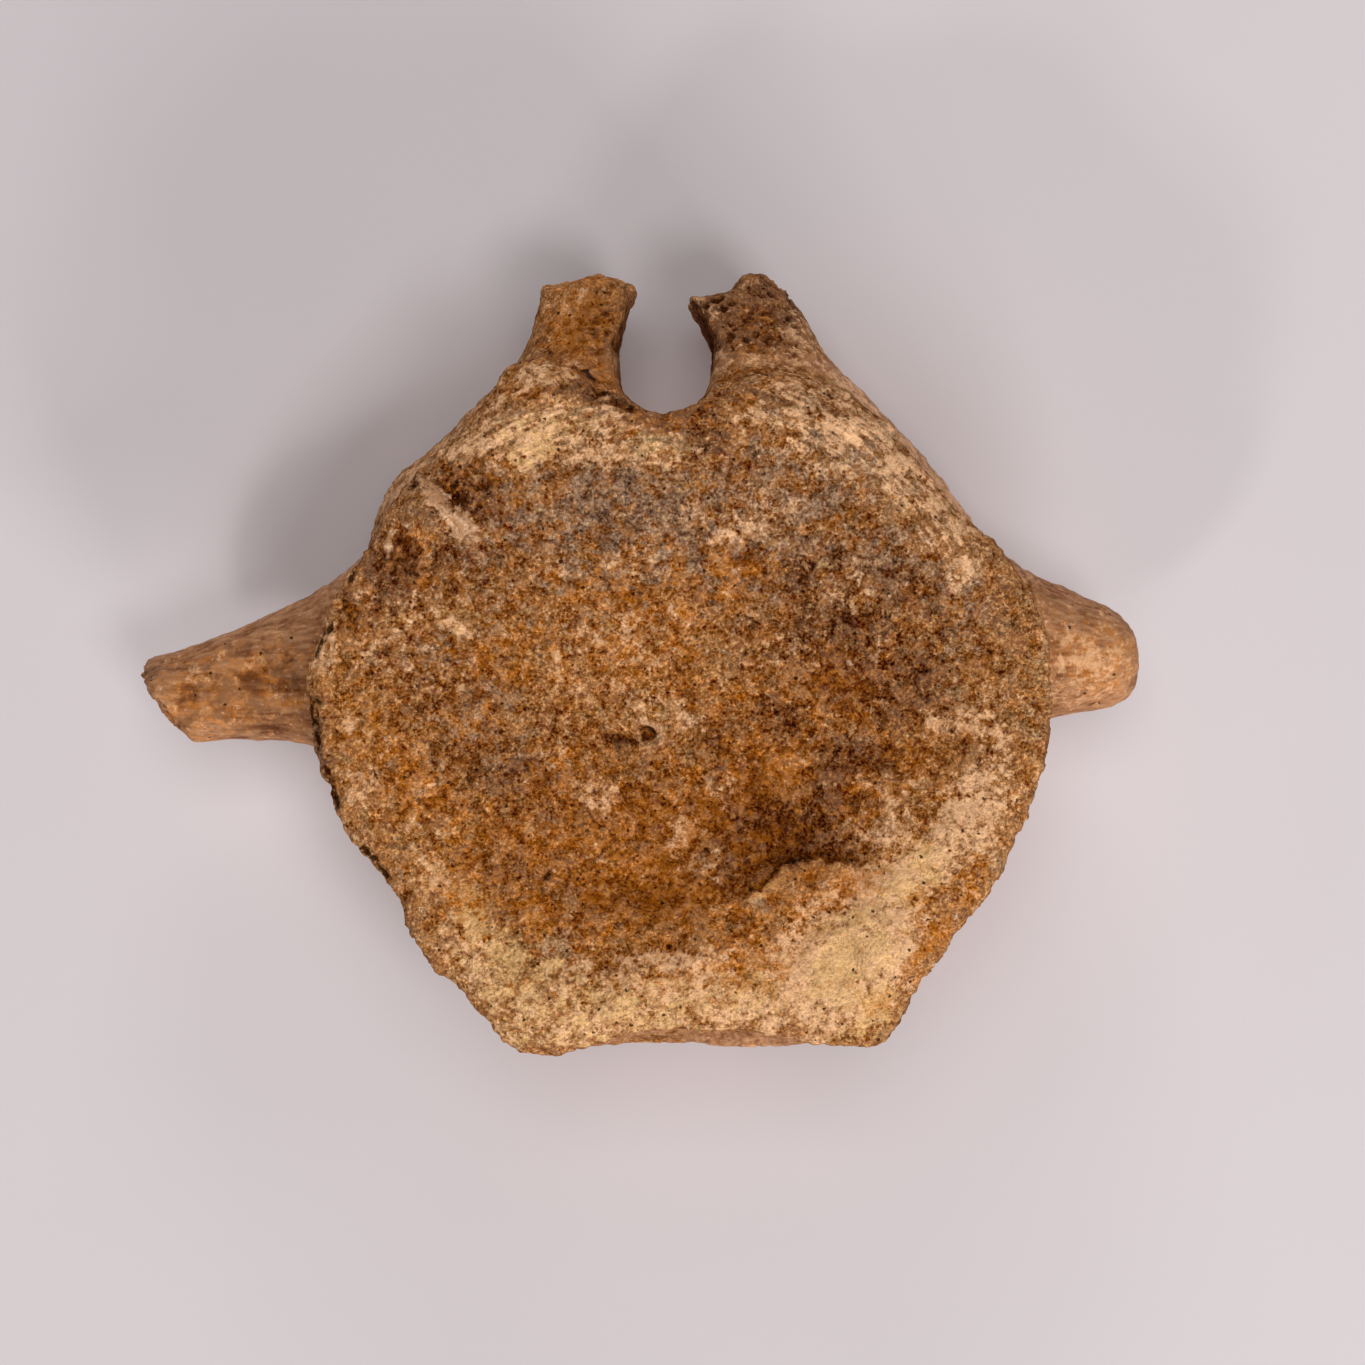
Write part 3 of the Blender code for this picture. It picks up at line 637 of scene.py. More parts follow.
def crack_share(place):
    """How far open a crack is along its course, from 0 to 1."""
    return smoothstep(0.6 + 1.6 * np.sin(1.3 * place) * np.sin(0.57 * place + 1.0))


def along_scarp(ragged, start=2.5, end=2.5):
    """Distance to the scarp, place along it, side, and a share that fades over its two ends."""
    gap, place, whole, side = along_path(ragged, SCARP)
    return gap, place, side, smoothstep(place / start) * smoothstep((whole - place) / end)


def opening_gap(points):
    """Distance in millimetres to the edge of the nearest hole, crack or line painted black as
    shade, less than 0 inside.
    """
    gaps = []
    for x, y, radius, _, longer, degrees in PITS:
        u, v = turned(points, x, y, degrees)
        gaps.append((np.hypot(u / longer, v) - PIT_OPENING * radius) * 0.9)
    # The arc of painted shadow along the upper edge of the knob's pit
    gap, _, _, _ = along_path(points, KNOB_PAINTED_SHADOW)
    gaps.append(gap - KNOB_PAINTED_SHADOW_HALF_WIDTH)
    ragged = warped(points, *CRACK_WARP)
    for path, half_width, widest in (
        (CREVICE, CREVICE_HALF_WIDTH, 0.9), (RIM_CRACK, CRACK_HALF_WIDTH, 1.3)
    ):
        gap, place, _, _ = along_path(ragged, path)
        gaps.append(gap - half_width * (widest * crack_share(place) - 0.3))
    gap, place, side, ends = along_scarp(warped(points, *FORM_WARP), 3.0, 6.0)
    # A black line of painted shadow along the scarp's foot
    shadow_line = SCARP_SHADOW_LINE * ends * (1.2 * crack_share(place + 2.0) - 0.4)
    gaps.append(np.where(side < 0, np.abs(gap - SCARP_RAMP) - shadow_line, gap + 0.3))
    return np.minimum.reduce(gaps)


def pit_field(points):
    """Depth of the small holes, the knob's pit, the groove and the cracks, in millimetres."""
    depth = np.zeros(len(points))
    for x, y, radius, deep, longer, degrees in PITS:
        u, v = turned(points, x, y, degrees)
        out = np.hypot(u / (radius * longer), v / radius)
        depth = np.maximum(depth, deep * np.exp(-((1.3 * out) ** 4)))
    u, v = turned(points, KNOB.x, KNOB.y, 0)
    bent = v + 0.35 * (u / KNOB_PIT) ** 2 - 0.25
    pit = KNOB_PIT_DEPTH * np.exp(-((u / (1.15 * KNOB_PIT)) ** 4) - (bent / (0.62 * KNOB_PIT)) ** 2)
    lines = [depth, pit]
    for path, half_width, deep in (
        (GROOVE, GROOVE_HALF_WIDTH, GROOVE_DEPTH),
        (CREVICE, CREVICE_HALF_WIDTH, CREVICE_DEPTH),
    ):
        gap, _, _, _ = along_path(points, path)
        lines.append(deep * np.exp(-((gap / half_width) ** 2)))
    gap, place, _, _ = along_path(warped(points, *CRACK_WARP), RIM_CRACK)
    lines.append(CRACK_DEPTH * crack_share(place) * np.exp(-((gap / CRACK_HALF_WIDTH) ** 2)))
    return np.maximum.reduce(lines)


def rear_forms(points):
    """Rise of the rear face's placed forms, and how much of each point is bare flake."""
    ragged = warped(points, *FORM_WARP)
    gap, _, side, ends = along_scarp(ragged)
    above = smoothstep(gap / SCARP_RAMP) * smoothstep(1.2 - gap / SCARP_REACH)
    below = np.exp(-gap / 1.6) - np.exp(-gap / 0.25)
    rise = ends * np.where(side > 0, SCARP_RISE * above, -SCARP_UNDERCUT * below)
    out = np.hypot(*(ragged - tuple(KNOB)).T) / KNOB_RING
    rise += KNOB_RISE * np.exp(-(((out - 0.75) / 0.38) ** 2))
    bare = np.zeros(len(points))
    crumbs = field(np.pad(points, ((0, 0), (0, 1))), 1.0, 97, 3)
    for x, y, half_length, half_width, degrees, high in FLAKES:
        u, v = turned(ragged, x, y, degrees)
        out = np.hypot(u / half_length, v / half_width)
        on = smoothstep((1.08 - out + 0.6 * crumbs) / (0.3 / half_width))
        rise += high * on * (1 - 0.25 * out)
        bare = np.maximum(bare, on)
    return rise, bare


def scarp_lines(points):
    """The painted shadow at the scarp's foot, and its rusty crest with a painted highlight, each
    from 0 to 1.
    """
    gap, _, side, ends = along_scarp(warped(points, *FORM_WARP))
    painted_foot_shadow = ends * np.exp(-gap / 1.2) * (side < 0)
    crest_rust_and_highlight = ends * np.exp(-((gap / 0.9) ** 2)) * (side > 0)
    return painted_foot_shadow, crest_rust_and_highlight


def open_pores(points):
    """The pores of spongy bone, half a millimetre wide and, at the arch, up to a whole one."""
    small = smoothstep((0.44 - cells(points, 0.95, 61)) / 0.16)
    bent = points + 0.30 * field(points, 0.8, 65, 2)[:, None]
    wide = smoothstep((0.46 - cells(bent, 1.30, 63)) / 0.14)
    wide *= smoothstep((field(points, 2.2, 69) + 0.15) / 0.3)
    return np.where(points[:, 1] > PEDICEL_Y, wide, small)


def spongy_share(points, parts):
    """Where the open pores of the inner bone show: broken ends, pedicels and bare places."""
    shown = np.maximum(parts["ends"], 0.85 * parts["pedicel"] * smoothstep(points[:, 0] / 4))
    shown = np.maximum(shown, 0.35 * parts["pedicel"])
    for x, y, radius in SPONGY:
        out = np.hypot(points[:, 0] - x, points[:, 1] - y) / radius
        shown = np.maximum(shown, parts["rear"] * smoothstep(1.6 - out))
    return shown


def carve(piece, sizes):
    """Moves the skin's points to give the crust, fibres, pores, pits and chips their relief."""
    mesh = piece.data
    points = read(mesh, "co") / MM
    normals = read(mesh, "normal")
    parts = regions(points, normals)
    crusted = np.clip(parts["rear"] + parts["front"] + 0.5 * parts["rim"], 0, 1)
    rise, bare = rear_forms(points[:, :2])
    rise *= parts["rear"]
    bare *= parts["rear"]

    lumps = field(points, 5.5, 11, 3)
    islands = smoothstep((field(points, 4.2, 23, 4) - 0.05) / 0.14)
    grit = field(points, 1.15, 37, 3)
    move = sizes.lumps / MM * lumps * (0.5 + 0.5 * crusted)
    move += sizes.islands / MM * (islands - 0.5) * crusted * (1 - bare)
    move += sizes.grit / MM * grit * (0.35 + 0.65 * crusted) * (1 - 0.8 * bare)

    across = field(points, (7.0, 0.95, 0.95), 41, 2)
    lengthwise = field(points, (0.95, 0.95, 8.0), 43, 2)
    fibres = np.where(parts["across"] > 0.5, across, lengthwise)
    move += sizes.fibres / MM * fibres * (1 - crusted)

    chips = field(points, 1.25, 53, 3)
    under_crest = smoothstep(REAR_RIM_Z - points[:, 2] - WHOLE_CREST)
    edge = parts["rim"] + parts["ends"] + 0.5 * parts["rear"] * under_crest
    move += sizes.chips / MM * np.minimum(chips, 0.25) * np.clip(edge, 0, 1)

    spongy = spongy_share(points, parts)
    pore = open_pores(points)
    fine_pore = smoothstep((0.34 - cells(points, 0.75, 67)) / 0.12) * (1 - bare)
    scattered = smoothstep((field(points, 7.0, 71, 2) - 0.12) / 0.2) * 0.45
    open_pore = np.clip(pore * spongy + fine_pore * scattered * crusted, 0, 1)
    move -= sizes.pores / MM * open_pore
    move += rise
    move -= pit_field(points[:, :2]) * parts["rear"]

    points += normals * move[:, None]
    points[:, 2] = np.maximum(points[:, 2], 0.0)
    mesh.vertices.foreach_set("co", (points * MM).ravel())
    mesh.update()


def smoothed(mesh, points, rounds):
    """The points after that many rounds of moving each to the middle of its neighbours."""
    ends = np.empty(len(mesh.edges) * 2, dtype=np.int64)
    mesh.edges.foreach_get("vertices", ends)
    a, b = ends.reshape(-1, 2).T
    count = len(points)
    near = np.bincount(a, minlength=count) + np.bincount(b, minlength=count)
    for _ in range(rounds):
        total = [
            np.bincount(a, points[b, k], count) + np.bincount(b, points[a, k], count)
            for k in range(3)
        ]
        points = np.stack(total, axis=1) / np.maximum(near, 1)[:, None]
    return points


def round_facets(piece):
    """Smooths the solid's facets away, and gives back what that takes from edges and ends."""
    mesh = piece.data
    before = read(mesh, "co")
    after = smoothed(mesh, before, FACET_ROUNDS)
    taken = before - after
    edge = np.linalg.norm(taken, axis=1, keepdims=True) / EDGE_LOSS
    edge = smoothed(mesh, np.repeat(smoothstep((edge - 0.3) / 0.7), 3, axis=1), 2)
    after += edge * smoothed(mesh, taken, 1)
    mesh.vertices.foreach_set("co", after.ravel())
    mesh.update()


def store(mesh, name, values):
    attribute = mesh.attributes.new(name, "FLOAT", "POINT")
    attribute.data.foreach_set("value", np.clip(values, 0, 1).astype(np.float32))


def paint(piece):
    """Writes down what the finish needs at each point: crust, stains, painted shade of hollows,
    edges.
    """
    mesh = piece.data
    points = read(mesh, "co") / MM
    normals = read(mesh, "normal")
    parts = regions(points, normals)
    _, bare = rear_forms(points[:, :2])
    bare *= np.maximum(parts["rear"], parts["rim"])
    pits = pit_field(points[:, :2]) * parts["rear"]

    # How far each point stands out from its near and from its wider surroundings
    height, broad = (
        np.einsum("ij,ij->i", points - smoothed(mesh, points, rounds), normals) / relief
        for rounds, relief in ((NEAR_ROUNDS, NEAR_RELIEF), (WIDE_ROUNDS, WIDE_RELIEF))
    )
    # Painted shade: hollows, pits and the foot of the scarp are darkened in colour where shade
    # falls
    hollow = np.clip(-height, 0, 1) * 0.7 + np.clip(-broad, 0, 1) * 0.4
    painted_foot_shadow, crest_rust_and_highlight = scarp_lines(points[:, :2])
    hollow = np.maximum.reduce([hollow, np.clip(pits / 0.8, 0, 1), painted_foot_shadow * parts["rear"]])

    seen = np.maximum(parts["rear"], parts["rim"] * 0.8)
    ragged = warped(points, 1.1, 3.4, 83)
    ragged = ragged + (warped(points, 0.5, 1.1, 89) - points[:, :2])
    top_side = smoothstep((normals[:, 2] + 0.35) / 0.4)
    shoulder = smoothstep((normals[:, 2] - 0.05) / 0.3) * (1 - parts["rear"])
    beside = np.maximum(parts["limb"] * top_side, shoulder)
    unseen = 1 - np.maximum(seen, parts["limb"] * top_side)
    placed = {
        "cream": (CREAM, LIMB_CREAM),
        "lime": (LIME, LIMB_LIME),
        "grey": (GREY, ()),
        "dark": (DARK, LIMB_DARK),
        "rust": (RUST, LIMB_RUST),
    }
    # Along the scarp: rust and a painted highlight of lime on the crest, dark as painted shadow at
    # its foot
    at_scarp = {"rust": crest_rust_and_highlight, "lime": crest_rust_and_highlight, "dark": painted_foot_shadow}
    for name, (on_face, on_limbs) in placed.items():
        size, seed, most = FREE_STAINS[name]
        free = most * smoothstep((field(points, size, seed, 4) - 0.02) / 0.40)
        store(mesh, name, np.maximum.reduce([
            patches(ragged, on_face) * seen,
            patches(ragged, on_limbs) * beside,
            free * unseen * (1 - 0.8 * shoulder),
            at_scarp.get(name, 0.0) * parts["rear"],
        ]))

    # Painted shade along the steep sides of the rim
    rim_line = smoothstep((0.55 - np.abs(normals[:, 2] - 0.15)) / 0.3) * parts["rim"]
    store(mesh, "rim_shade", rim_line * smoothstep((field(points, 3.0, 127, 3) + 0.35) / 0.4))
    crusted = np.clip(parts["rear"] + 0.9 * parts["front"] + parts["rim"], 0, 1)
    flank_crust = smoothstep((field(points, 10.0, 131, 4) - 0.10) / 0.12)
    crusted = np.maximum(crusted, flank_crust * (1 - parts["limb"]) * 0.8)
    crusted = np.maximum(crusted, 0.95 * parts["pedicel"])
    store(mesh, "crust", crusted)

    off = warped(points, 0.7, 1.6, 137) - tuple(KNOB)
    ring = np.exp(-(((np.hypot(*off.T) / KNOB_RING - 0.78) / 0.30) ** 2))
    ring *= 0.55 + 0.35 * smoothstep(0.5 + 0.4 * off[:, 0] + 0.2 * off[:, 1])
    store(mesh, "flake", np.maximum(bare, ring * parts["rear"]))
    limy = np.maximum(patches(ragged, CREAM), patches(ragged, LIME)) * parts["rear"]
    # Less painted shade of hollows where lime and cream stains lie
    store(mesh, "hollow", hollow * (1 - 0.8 * np.clip(limy, 0, 1)))
    streaked = patches(points[:, :2], STREAKS) * parts["rear"]
    upper_rim = parts["rim"] * (points[:, 1] > UPPER_RIM_Y)
    store(mesh, "streak", np.maximum(streaked, 0.5 * upper_rim))
    # Painted shade for the open pores of spongy bone
    store(mesh, "pore", open_pores(points) * spongy_share(points, parts))
    # Painted shade: holes, cracks and the painted shadow lines at the knob and the scarp turn black
    painted_hole_shade = 0.5 - opening_gap(points[:, :2]) / 2
    store(mesh, "opening", painted_hole_shade * (parts["rear"] > 0))
    # Painted highlight: how far each point stands out, so that raised places turn paler
    store(mesh, "ridge", height)
    store(mesh, "across", parts["across"])


def add_node(tree, kind, inputs=None, **settings):
    """Adds a node. inputs gives a value or another node's output for an input's name or number."""
    node = tree.nodes.new("ShaderNode" + kind)
    for name, value in settings.items():
        setattr(node, name, value)
    for name, value in (inputs or {}).items():
        if isinstance(value, bpy.types.NodeSocket):
            tree.links.new(value, node.inputs[name])
        else:
            node.inputs[name].default_value = value
    return node.outputs


def fossil_bone_finish(colours, sizes):
    """Fossil bone under iron-stained sandstone crust: matt curdled grains of many browns, greys
    and creams that hardly shine, over smooth fibrous bone with a faint waxy gloss on the limbs."""
    material = bpy.data.materials.new("iron_stained_fossil_bone")
    material.use_nodes = True
    tree = material.node_tree
    shader = tree.nodes["Principled BSDF"]
    shader.inputs["IOR"].default_value = 1.5

    def add(kind, inputs=None, **settings):
        return add_node(tree, kind, inputs, **settings)

    def solid(name):
        return (*getattr(colours, name), 1.0)

    # Everything below works in millimetres on the piece's own coordinates
    place = add("TexCoord")["Object"]
    place = add("VectorMath", {0: place, "Scale": 1 / MM}, operation="SCALE")[0]
    attribute = {
        name: add("Attribute", attribute_name=name)["Fac"]
        for name in (
            "cream", "lime", "grey", "dark", "rust", "crust", "flake", "hollow", "pore", "ridge",
            "opening", "streak", "across", "rim_shade",
        )
    }
    # Sand grains lie evenly everywhere, so their stain reads one value and no attribute
    attribute["sand"] = 0.34

    # Clouds of stain one to three millimetres wide, curdled down to a quarter of one, and the sand
    # grains with coarser ones among them
    clouds = {}
    for name, scale in (("middle", 0.42), ("small", 0.95)):
        moved = add("VectorMath", {0: place, 1: (17.0 * scale, 5.0, 3.0)})[0]
        detail = {"Vector": moved, "Scale": scale, "Detail": 5.0, "Roughness": 0.66}
        clouds[name] = add("SeparateColor", {0: add("TexNoise", detail)["Color"]})
    fine = add("TexNoise", {"Vector": place, "Scale": 2.7, "Detail": 2.0, "Roughness": 0.7})
    fine = add("SeparateColor", {0: fine["Color"]})
    wobble = add("TexNoise", {"Vector": place, "Scale": 2.6, "Detail": 2.0})["Color"]
    wobble = add("VectorMath", {0: wobble, 1: (-0.5, -0.5, -0.5)}, operation="ADD")[0]
    wobble = add("VectorMath", {0: wobble, "Scale": 0.5}, operation="SCALE")[0]
    moved = add("VectorMath", {0: place, 1: wobble})[0]
    grain = add("TexVoronoi", {"Vector": moved, "Scale": MM / sizes.grain})
    coarse = add("TexVoronoi", {"Vector": moved, "Scale": 0.5 * MM / sizes.grain})
    luck = add("SeparateColor", {0: grain["Color"]})
    coarse_luck = add("SeparateColor", {0: coarse["Color"]})

    # Streaks half a millimetre wide and many times as long run along the upper rim
    off = add("VectorMath", {0: place, 1: STREAK_CENTRE}, operation="SUBTRACT")[0]
    flat = add("VectorMath", {0: off, 1: (1.0, 1.0, 0.0)}, operation="MULTIPLY")[0]
    reach = add("VectorMath", {0: flat}, operation="LENGTH")["Value"]
    apart = add("SeparateXYZ", {0: off})
    turn = add("Math", {0: apart[1], 1: apart[0]}, operation="ARCTAN2")[0]
    turn = add("Math", {0: turn, 1: 6.0}, operation="MULTIPLY")[0]
    round_face = add("CombineXYZ", {0: reach, 1: turn})[0]
    streak = add("TexNoise", {"Vector": round_face, "Scale": 1.3, "Detail": 4.0})["Fac"]
    streak = add("Math", {0: streak, 1: -0.5}, operation="ADD")[0]
    streak = add("Math", {0: streak, 1: attribute["streak"]}, operation="MULTIPLY")[0]

    def stained(below, name, channels, bias=0.0, most=0.9, drawn=0.0):
        """Lays a stain over what is below: in clots, more of them where its attribute is strong."""
        inputs = {0: attribute[name], 1: STAIN_GAIN, 2: bias - STAIN_LOSS}
        odds = add("Math", inputs, operation="MULTIPLY_ADD")[0]
        odds = add("Math", {0: streak, 1: drawn, 2: odds}, operation="MULTIPLY_ADD")[0]
        layers = (clouds["middle"], clouds["small"], fine, luck)
        for layer, channel, share in zip(layers, channels, CLOT_SHARES):
            odds = add("Math", {0: layer[channel], 1: share, 2: odds}, operation="MULTIPLY_ADD")[0]
        inputs = {"Value": odds, 1: STAIN_START, 2: STAIN_FULL, 4: most}
        amount = add("MapRange", inputs, interpolation_type="SMOOTHSTEP")[0]
        return add("Mix", {0: amount, 6: below, 7: solid(name)}, data_type="RGBA")[2]

    half = add("MapRange", {"Value": clouds["small"][1], 1: 0.30, 2: 0.70})[0]
    crust = add("Mix", {0: half, 6: solid("crust_shade"), 7: solid("crust")}, data_type="RGBA")[2]
    crust = stained(crust, "sand", (2, 2, 0, 2), 0.0, 0.8)
    crust = stained(crust, "rust", (0, 1, 2, 0))
    crust = stained(crust, "grey", (1, 2, 0, 1))
    crust = stained(crust, "dark", (2, 0, 1, 2))

    def toned(below, noise_reach, grain_reach):
        """Light grains turn paler and dark ones deeper in colour, as sand under iron stain does."""
        inputs = {"Value": fine[0], 1: 0.32, 2: 0.68, 3: 1 - noise_reach, 4: 1 + noise_reach}
        tone = add("MapRange", inputs)[0]
        for one, reach in ((luck[1], grain_reach), (coarse_luck[1], 0.5 * grain_reach)):
            level = add("MapRange", {"Value": one, 3: 1 - reach, 4: 1 + reach})[0]
            tone = add("Math", {0: tone, 1: level}, operation="MULTIPLY")[0]
        scaled = add("Math", {0: tone, 1: 0.45, 2: 0.55}, operation="MULTIPLY_ADD")[0]
        scaled = add("VectorMath", {0: below, "Scale": scaled}, operation="SCALE")[0]
        shift = add("Math", {0: tone, 1: -1.0}, operation="ADD")[0]
        inputs = {0: GRAIN_SHIFT, 1: shift, 2: scaled}
        shifted = add("VectorMath", inputs, operation="MULTIPLY_ADD")[0]
        return add("VectorMath", {0: shifted, 1: DARKEST_GRAIN}, operation="MAXIMUM")[0]

    # Grains differ in tone, most of all in the brown crust, and black ones lie singly and in swarms
    crust = toned(crust, 0.47, 0.31)
    crust = stained(crust, "dark", (1, 1, 0, 0), -0.12, 0.5)
    crust = stained(crust, "cream", (0, 2, 1, 1), -0.10, 0.9, 2.2)
    crust = stained(crust, "lime", (1, 0, 2, 0), -0.10, 0.8)
    crust = stained(crust, "rust", (2, 0, 1, 1), -0.20, 0.75)

    # Bare flakes, with fibres that run towards the middle of the face
    inward = add("VectorMath", {0: round_face, 1: (0.16, 4.5, 1.0)}, operation="MULTIPLY")[0]
    splinter = add("TexNoise", {"Vector": inward, "Scale": 1.4, "Detail": 3.0})["Fac"]
    pale = add("MapRange", {"Value": splinter, 1: 0.42, 2: 0.60})[0]
    flake = add("Mix", {0: pale, 6: solid("bone"), 7: solid("flake")}, data_type="RGBA")[2]
    ragged = add("Math", {0: fine[0], 1: 0.9, 2: attribute["flake"]}, operation="MULTIPLY_ADD")[0]
    shown = add("MapRange", {"Value": ragged, 1: 0.80, 2: 1.40, 4: 0.85})[0]
    crust = add("Mix", {0: shown, 6: crust, 7: flake}, data_type="RGBA")[2]
    crust = toned(crust, 0.26, 0.16)
    uneven = add("MapRange", {"Value": clouds["small"][2], 1: 0.32, 2: 0.68, 3: 0.92, 4: 1.08})[0]
    crust = add("VectorMath", {0: crust, "Scale": uneven}, operation="SCALE")[0]
    level = add("Math", {0: streak, 1: 1.7, 2: 1.0}, operation="MULTIPLY_ADD")[0]
    crust = add("VectorMath", {0: crust, "Scale": level}, operation="SCALE")[0]
    swarm = add("Math", {0: clouds["middle"][2], 1: 1.3, 2: luck[0]}, operation="MULTIPLY_ADD")[0]
    swarm = add("MapRange", {"Value": swarm, 1: 1.50, 2: 1.60, 4: 0.56})[0]
    fewer = add("Math", {0: attribute["cream"], 1: -0.55, 2: 1.0}, operation="MULTIPLY_ADD")[0]
    swarm = add("Math", {0: swarm, 1: fewer}, operation="MULTIPLY")[0]
    crust = add("Mix", {0: swarm, 6: crust, 7: solid("pore")}, data_type="RGBA")[2]

    # Bare bone has long fibres: along the transverse processes, and from face to face elsewhere
    fibres = []
    for stretch in ((1.0, 1.0, 0.11), (0.12, 1.0, 1.0)):
        drawn = add("VectorMath", {0: place, 1: stretch}, operation="MULTIPLY")[0]
        fibres.append(add("TexNoise", {"Vector": drawn, "Scale": 1.7, "Detail": 5.0})["Fac"])
    fibre = add("Mix", {0: attribute["across"], 2: fibres[0], 3: fibres[1]})[0]
    pale = add("MapRange", {"Value": fibre, 1: 0.36, 2: 0.64})[0]
    bone = add("Mix", {0: pale, 6: solid("bone_shade"), 7: solid("bone")}, data_type="RGBA")[2]
    for name, channels in (("rust", (0, 1, 2, 0)), ("dark", (2, 0, 1, 2)), ("cream", (0, 2, 1, 1))):
        bone = stained(bone, name, channels, -0.04, 0.7)
    mottle = add("MapRange", {"Value": fine[1], 1: 0.3, 2: 0.7, 3: 0.84, 4: 1.14})[0]
    bone = add("VectorMath", {0: bone, "Scale": mottle}, operation="SCALE")[0]

    skin = add("Mix", {0: attribute["crust"], 6: bone, 7: crust}, data_type="RGBA")[2]
    # Painted highlight: raised places are mixed a little towards cream
    painted_highlight = add("Math", {0: attribute["ridge"], 1: 0.14}, operation="MULTIPLY")[0]
    skin = add("Mix", {0: painted_highlight, 6: skin, 7: solid("cream")}, data_type="RGBA")[2]
    # Painted shade: steep rim edges and hollows are multiplied by the shade colour
    for name in ("rim_shade", "hollow"):
        painted_shade = add("Math", {0: attribute[name], 1: 0.6}, operation="MULTIPLY")[0]
        inputs = {0: painted_shade, 6: skin, 7: solid("painted_shade")}
        skin = add("Mix", inputs, data_type="RGBA", blend_type="MULTIPLY")[2]
    # Painted shade in the open pores of spongy bone
    painted_shade = add("Math", {0: attribute["pore"], 1: 0.85}, operation="MULTIPLY")[0]
    skin = add("Mix", {0: painted_shade, 6: skin, 7: solid("pore")}, data_type="RGBA")[2]

    # Cracks and holes are painted black as their shade, with crisp ragged edges, and black pinholes
    # of painted shade up to half a millimetre wide lie scattered
    inputs = {0: fine[2], 1: 0.30, 2: attribute["opening"]}
    ragged = add("Math", inputs, operation="MULTIPLY_ADD")[0]
    painted_hole_shade = add("MapRange", {"Value": ragged, 1: 0.64, 2: 0.72})[0]
    pinhole = add("TexVoronoi", {"Vector": moved, "Scale": 0.5})["Distance"]
    pinhole = add("MapRange", {"Value": pinhole, 1: 0.115, 2: 0.085})[0]
    painted_hole_shade = add("Math", {0: painted_hole_shade, 1: pinhole}, operation="MAXIMUM")[0]
    painted_hole_shade = add("Math", {0: painted_hole_shade, 1: 0.9}, operation="MULTIPLY")[0]
    skin = add("Mix", {0: painted_hole_shade, 6: skin, 7: solid("pore")}, data_type="RGBA")[2]
    tree.links.new(skin, shader.inputs["Base Color"])

    matt = add("MapRange", {"Value": luck[1], 3: 0.82, 4: 0.97})[0]
    matt = add("Mix", {0: attribute["crust"], 2: 0.68, 3: matt})[0]
    tree.links.new(matt, shader.inputs["Roughness"])
    gloss = add("Mix", {0: attribute["crust"], 2: 0.14, 3: 0.03})[0]
    tree.links.new(gloss, shader.inputs["Specular IOR Level"])

    domes = add("MapRange", {"Value": grain["Distance"], 2: 0.75, 3: 1.2, 4: 0.0})[0]
    domes = add("Math", {0: fine[0], 1: 2.6, 2: domes}, operation="MULTIPLY_ADD")[0]
    domes = add("Math", {0: clouds["small"][1], 1: 0.8, 2: domes}, operation="MULTIPLY_ADD")[0]
    domes = add("Math", {0: streak, 1: 9.0, 2: domes}, operation="MULTIPLY_ADD")[0]
    ridges = add("Math", {0: fibre, 1: 2.2}, operation="MULTIPLY")[0]
    relief = add("Mix", {0: attribute["crust"], 2: ridges, 3: domes})[0]
    bump = add("Bump", {"Strength": 0.8, "Distance": 0.00015, "Height": relief})
    tree.links.new(bump["Normal"], shader.inputs["Normal"])
    return material


def paper_finish(colours):
    """A pale matt paper sheet: nearly even, with faint cloudiness so that it isn't dead flat."""
    material = bpy.data.materials.new("pale_paper_sheet")
    material.use_nodes = True
    tree = material.node_tree
    shader = tree.nodes["Principled BSDF"]
    shader.inputs["Roughness"].default_value = 0.95
    shader.inputs["Specular IOR Level"].default_value = 0.1
    place = add_node(tree, "TexCoord")["Object"]
    cloud = add_node(tree, "TexNoise", {"Vector": place, "Scale": 22.0, "Detail": 2.0})["Fac"]
    pale = (*colours.sheet, 1.0)
    dim = (*(0.97 * part for part in colours.sheet), 1.0)
    tint = add_node(tree, "Mix", {0: cloud, 6: dim, 7: pale}, data_type="RGBA")[2]
    tree.links.new(tint, shader.inputs["Base Color"])
    return material


def pick(piece):
    bpy.ops.object.select_all(action="DESELECT")
    piece.select_set(True)
    bpy.context.view_layer.objects.active = piece


def modify(piece, kind, **settings):
    """Adds a modifier with its settings and applies it."""
    modifier = piece.modifiers.new(kind.lower(), kind)
    for name, value in settings.items():
        setattr(modifier, name, value)
    pick(piece)
    bpy.ops.object.modifier_apply(modifier=modifier.name)


